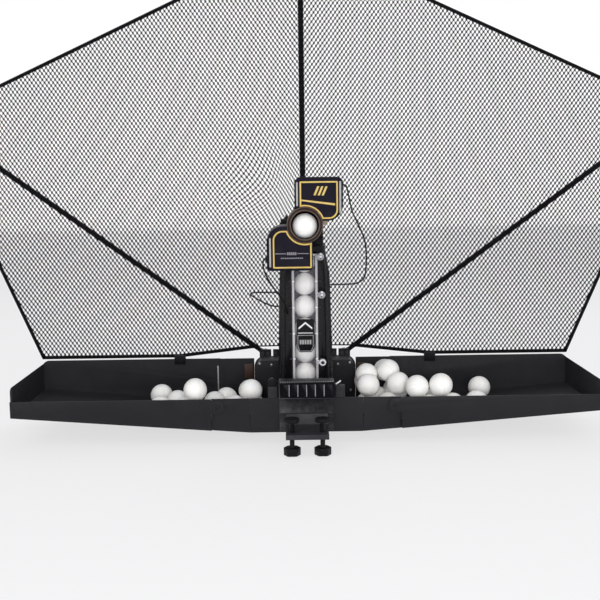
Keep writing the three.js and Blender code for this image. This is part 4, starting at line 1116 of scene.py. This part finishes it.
def makeClamp():
    dressNode("clamp_arm", "clampArm", "darkGrey", "base", 0.8, 3)
    x, y = hook["padPlace"]
    for side, title, s in sides:
        body = f"clamp_{side}"
        dressNode(f"clamp_screw_{side}", f"clampScrew{title}", "blackPlastic", body, 0.5)
        pad = turnedPiece(hook["pad"], "Z", (s * x, y, 0), 40)
        finishPiece(pad, f"clampPad{title}", "cableRubber", body)


tray = {
    "panelNear": 104, "panelFar": 158, "panelLow": -50, "panelCorner": 17, "panelTop": 21,
    "panelDepths": (218.1, 219.4), "flap": (99, 115, (216.9, 218.4), (-14, 14)),
    "strip": (164.6, 167, (222.08, 222.9), (-42, 10)),
    # depth, side they look to, and places
    "frontScrews": (175.3, -1, ((-84, 22), (-62, 19.5), (60, 19.5), (82, 22), (-84, -30), (84, -30))),
    "backScrews": (222, 1, ((-84, 20), (-30, 20), (30, 20), (84, 20),
                            (-84, -52), (-30, -52), (30, -52), (84, -52))),
}


def makeTrays():
    dressNode("base_bin", "baseBin", "charcoalPlastic", "base", 0.7)
    dressNode("feed_housing", "feedHousing", "charcoalPlastic", "base", 0.7)
    dressNode("power_socket", "powerSocket", "blackPlastic", "base", 0.2)
    screws = [copyAt(screwHead((0, depth, 0), side), [(x, 0, z) for x, z in places])
              for depth, side, places in (tray["frontScrews"], tray["backScrews"])]
    finishPiece(joined(screws), "housingScrews", "screwMetal", "base")
    for side, title, s in sides:
        wing = f"wing_{side}"
        dressNode(f"tray_{side}", f"innerTray{title}", "charcoalPlastic", "base", 0.6)
        dressNode(wing, f"trayWing{title}", "charcoalPlastic", wing, 0.7)
        dressNode(f"net_clip_{side}", f"netClip{title}", "blackPlastic", wing, 0.4)
        near, far, corner = tray["panelNear"], tray["panelFar"], tray["panelCorner"]
        centre = tray["panelTop"] - corner
        points = [(near, tray["panelLow"]), (far, tray["panelLow"])]
        points += arcPoints(far - corner, centre, corner, 0, math.pi / 2, 8)
        points += arcPoints(near + corner, centre, corner, math.pi / 2, math.pi, 8)
        panel = outlinePlate([(s * x, z) for x, z in points], *tray["panelDepths"])
        bevelEdges(panel, 0.6, 2, 40)
        smoothShade(panel)
        finishPiece(panel, f"innerTrayPanel{title}", "charcoalPlastic", "base")
        flap = sideBox(s, *tray["flap"], 0.5, 2)
        finishPiece(flap, f"ballFlap{title}", "brownFlap", "base")
        strip = sideBox(s, *tray["strip"], 0.2, 2)
        finishPiece(strip, f"hingeStrip{title}", "paleStrip", wing)


rods = {
    "radius": 5, "y": 234.3, "pivotX": 75, "pivotZ": 30, "length": 760, "angle": 36.2,
    "neck": (8, 26, 4.2), "sleeveStart": 24, "steps": 40, "eyeEnd": 12,  # the neck's start, end and radius
    "lugs": ((52, 58), (67, 73), (78, 83)), "lugDepths": (220.9, 222.6), "lugHeights": (17, 36),
    "centreLow": 20.3, "centreLength": 770, "centreSteps": 60,
}


def makeRods():
    for side, title, s in sides:
        dressNode(f"rod_bracket_{side}", f"rodBracket{title}", "blackPlastic", "base", 0.5)
        lugs = [sideBox(s, near, far, rods["lugDepths"], rods["lugHeights"], 0.6, 2)
                for near, far in rods["lugs"]]
        finishPiece(joined(lugs), f"bracketLugs{title}", "darkGrey", "base")
        rodPiece(f"net_rod_{side}", f"netRod{title}", s)


def rodPiece(node, name, s):
    angle = math.radians(rods["angle"])
    along = Vector((s * math.cos(angle), 0, math.sin(angle)))
    pivot = Vector((s * rods["pivotX"], rods["y"], rods["pivotZ"]))
    body = "rod_left" if s < 0 else "rod_right"
    tubes = []
    for start, end, radius in (rods["neck"], (rods["sleeveStart"], rods["length"], rods["radius"])):
        route = straightRoute(pivot + along * start, pivot + along * end, rods["steps"])
        tubes.append(linePiece(route, radius, 6))
    eye = refined(node, 0.3, 2)
    editAll(eye)
    bpy.ops.mesh.bisect(plane_co=(pivot + along * rods["eyeEnd"]) * mm, plane_no=along, clear_outer=True,
                        use_fill=True)
    objectMode()
    finishPiece(eye, f"{name}Eye", "blackPlastic", body, (node,))
    finishPiece(joined(tubes), name, "sleeve", body, (node,))


def makeCentreRod():
    dressNode("rod_socket_centre", "rodSocket", "blackPlastic", "base", 0.6)
    foot = Vector((0, rods["y"], rods["centreLow"]))
    route = straightRoute(foot, foot + Vector((0, 0, rods["centreLength"])), rods["centreSteps"])
    piece = linePiece(route, rods["radius"], 6)
    finishPiece(piece, "centreRod", "sleeve", "base", ("net_rod_centre",))


makeHook()
makeClamp()
makeTrays()
makeRods()
makeCentreRod()
print("hook, trays and rods are built")


net = {
    "pitchX": 7.85, "pitchZ": 5.41, "strand": 1.8, "waist": 1.22, "cornerShares": (0.75, 1), "thickness": 0.5,
    "front": 228.2, "hem": 2.2, "hemHalf": 0.35, "tape": 6.5, "tapeHalf": 0.5, "inset": 0.8,
    "upperStart": (0, 44), "upperCount": (90, 70), "lowerStart": (96, 24), "lowerCount": (78, 44),
    "rodGap": 0.5, "lowerEdge": [(98, 42), (237.5, 26), (500, 26)], "upperEdge": ((0.3, 46), (0.3, 790)),
    "notch": (12.4, 61), "upperKeep": 0.15, "lowerKeep": 0.15,
    "drawnAt": (-46, 352), "drawnReach": 44, "drawnTo": -6, "drawnShare": 0.34, "raisedShare": 0.3,
    "drawnLimits": (-200, -1),
}


# an X of four arms, as one flat piece with a square middle
def crossPlate(cx, cz):
    px, pz = net["pitchX"], net["pitchZ"]
    waist = net["waist"] / 2
    wide, tall = [net["strand"] * share for share in net["cornerShares"]]
    lean = math.hypot(px / 2, pz)
    points = []
    corners = [(wide, 0), (0, tall), (-wide, 0), (0, -tall)]
    for k, (sx, sz) in enumerate(((1, 1), (-1, 1), (-1, -1), (1, -1))):
        points.append((cx + corners[k][0], cz + corners[k][1]))
        mx, mz = cx + sx * px / 4, cz + sz * pz / 2
        offX, offZ = pz / lean * waist, px / 2 / lean * waist
        first = (mx + sz * sx * offX, mz - sz * sx * offZ)
        second = (mx - sz * sx * offX, mz + sz * sx * offZ)
        points += sorted((first, second), key=lambda point: math.dist(points[-1], point))
    return points


# an array of crossings, cut along the lines of edges, each (point, outward normal)
def netSheet(edges, startX, startZ, columns, rows):
    addNew()
    crosses = [outlinePlate(crossPlate(cx, cz), net["front"], net["front"])
               for cx, cz in ((startX, startZ), (startX + net["pitchX"] / 2, startZ + net["pitchZ"]))]
    piece = joined(crosses)
    for count, offset in ((columns, (net["pitchX"] * mm, 0, 0)), (rows, (0, 0, 2 * net["pitchZ"] * mm))):
        applyModifier(piece, "ARRAY", count=count, use_relative_offset=False, use_constant_offset=True,
                      constant_offset_displace=offset, use_merge_vertices=False)
    editAll(piece)
    bpy.ops.mesh.remove_doubles(threshold=0.00002)
    for (x, z), (nx, nz) in edges:
        bpy.ops.mesh.select_all(action="SELECT")
        bpy.ops.mesh.bisect(plane_co=(x * mm, 0, z * mm), plane_no=(nx, 0, nz), clear_outer=True)
    objectMode()
    return piece


# the cutting lines of a convex outline given anticlockwise
def edgesOf(points, inset):
    edges = []
    for (ax, az), (bx, bz) in zip(points, points[1:] + points[:1]):
        length = math.hypot(bx - ax, bz - az)
        nx, nz = (bz - az) / length, -(bx - ax) / length
        edges.append(((ax - nx * inset, az - nz * inset), (nx, nz)))
    return edges


def mirrorPiece(piece, s):
    if s < 0:
        pickOnly(piece)
        bpy.ops.transform.mirror(constraint_axis=(True, False, False), center_override=(0, 0, 0))
        bpy.ops.object.transform_apply(location=True, rotation=True, scale=True)
        editAll(piece)
        bpy.ops.mesh.flip_normals()
        objectMode()
    return piece


def alongRod(distance, gap):
    angle = math.radians(rods["angle"])
    return (rods["pivotX"] + distance * math.cos(angle) - gap * math.sin(angle),
            rods["pivotZ"] + distance * math.sin(angle) + gap * math.cos(angle))


# a folded tape along one edge, with the net on its left hand
def edgeTape(start, end):
    length, width, half = math.dist(start, end), net["tape"], net["tapeHalf"]
    nx, nz = -(end[1] - start[1]) / length, (end[0] - start[0]) / length
    inner = [(x + nx * width, z + nz * width) for x, z in (end, start)]
    tape = outlinePlate([start, end] + inner, net["front"] - half, net["front"] + half)
    bevelEdges(tape, 0.2, 2)
    return tape


# taped holds the places of the taped edges in the outline
def hungNet(name, side, title, s, outline, taped):
    mesh = netSheet(edgesOf(outline, net["inset"]), *net[f"{name}Start"], *net[f"{name}Count"])
    applyModifier(mesh, "SOLIDIFY", thickness=net["thickness"] * mm, offset=0, use_rim=False)
    half = net["hemHalf"]
    hem = outlinePlate(outline, net["front"] - half, net["front"] + half, net["hem"])
    tapes = [edgeTape(outline[i], outline[(i + 1) % len(outline)]) for i in taped]
    piece = mirrorPiece(joined([mesh, hem] + tapes), s)
    finishPiece(piece, f"net{name.title()}{title}", "net", None, (f"net_{name}_{side}",))
    print("net", name, side, len(piece.data.polygons), "faces,", netArea(piece), "m2")
    return piece


def makeNets():
    gap = net["rodGap"]
    foot, tip = net["upperEdge"]
    upper = [foot, alongRod(rods["sleeveStart"], gap), alongRod(rods["length"], gap), tip]
    lower = [alongRod(rods["sleeveStart"], -gap), *net["lowerEdge"], alongRod(rods["length"], -gap)]
    for side, title, s in sides:
        piece = hungNet("upper", side, title, s, upper, (2,))
        cutNotch(piece)
        if side == "left":
            drawTogether(piece)
        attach(piece, "base")
        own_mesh(piece)
        piece = hungNet("lower", side, title, s, lower, (0, 1, 2, 3))
        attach(piece, f"rod_{side}")
        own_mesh(piece)


def netArea(piece):
    return round(sum(face.area for face in piece.data.polygons) / 2, 4)


# clears the strands that would run through the mast of the centre rod
def cutNotch(piece):
    wide, high = [size * mm for size in net["notch"]]
    selectWhere(piece, "FACE", lambda face: abs(face.center.x) < wide and face.center.z < high)
    bpy.ops.mesh.delete(type="FACE")
    bpy.ops.mesh.select_mode(type="VERT")
    objectMode()


# pulls the strands beside the head sideways, where the net is gathered
def drawTogether(piece):
    atX, atZ = net["drawnAt"]
    left, right = net["drawnLimits"]
    for vertex in piece.data.vertices:
        x, z = vertex.co.x / mm, vertex.co.z / mm
        if left < x < right:
            nearness = math.exp(-((x - atX) ** 2 + (z - atZ) ** 2) / (2 * net["drawnReach"] ** 2))
            vertex.co.x += (net["drawnTo"] - x) * net["drawnShare"] * nearness * mm
            vertex.co.z += (x - net["drawnTo"]) * net["raisedShare"] * nearness * mm


looseBalls = {
    # a ball on the sloping floor has its centre at floorHeight where it is floorFrom away from the middle
    "turn": (0.7, 1.3, 0.4), "floorFrom": 96, "floorHeight": -39, "slope": 0.0777,
    "base": [(131, 144), (146, 92), (110, 109.5), (110, 92), (163, 125.5), (163, 92), (110, 166), (110, 131),
             (149, 126), (163, 166), (146, 166), (-145, 147), (-127, 92), (-96, 118), (-97, 92), (-103, 154),
             (-163, 110)],
    "wing_right": [(170.5, 46), (211, 46.5), (251.5, 45), (293, 47), (190.5, 48), (231, 46), (236, 110),
                   (318, 150)],
    "wing_left": [(-170.5, 46), (-211, 46), (-251.5, 49), (-190.5, 47), (-262, 140), (-228, 101)],
}


# a ball lies on the tray's floor or on the highest of the balls that were laid before it
def restingHeight(x, y, laid):
    across = 2 * ballSize["radius"]
    height = looseBalls["floorHeight"] + (abs(x) - looseBalls["floorFrom"]) * looseBalls["slope"]
    for place in laid:
        apart = math.dist((x, y), place[:2])
        if apart < across:
            height = max(height, place[2] + math.sqrt(across ** 2 - apart ** 2))
    return height


def makeLooseBalls():
    laid = []
    for body in ("base", "wing_right", "wing_left"):
        for x, y in looseBalls[body]:
            place = (x, y, restingHeight(x, y, laid))
            laid.append(place)
            count = len(laid)
            ball = ballAt(Vector(place) * mm, [count * turn for turn in looseBalls["turn"]])
            finishPiece(ball, f"looseBall{count}", "ball", body, ())
    pickOnly(firstBall)
    bpy.ops.object.delete()
    print("loose balls:", len(laid))


makeLooseBalls()


makeNets()
print("nets are hung")
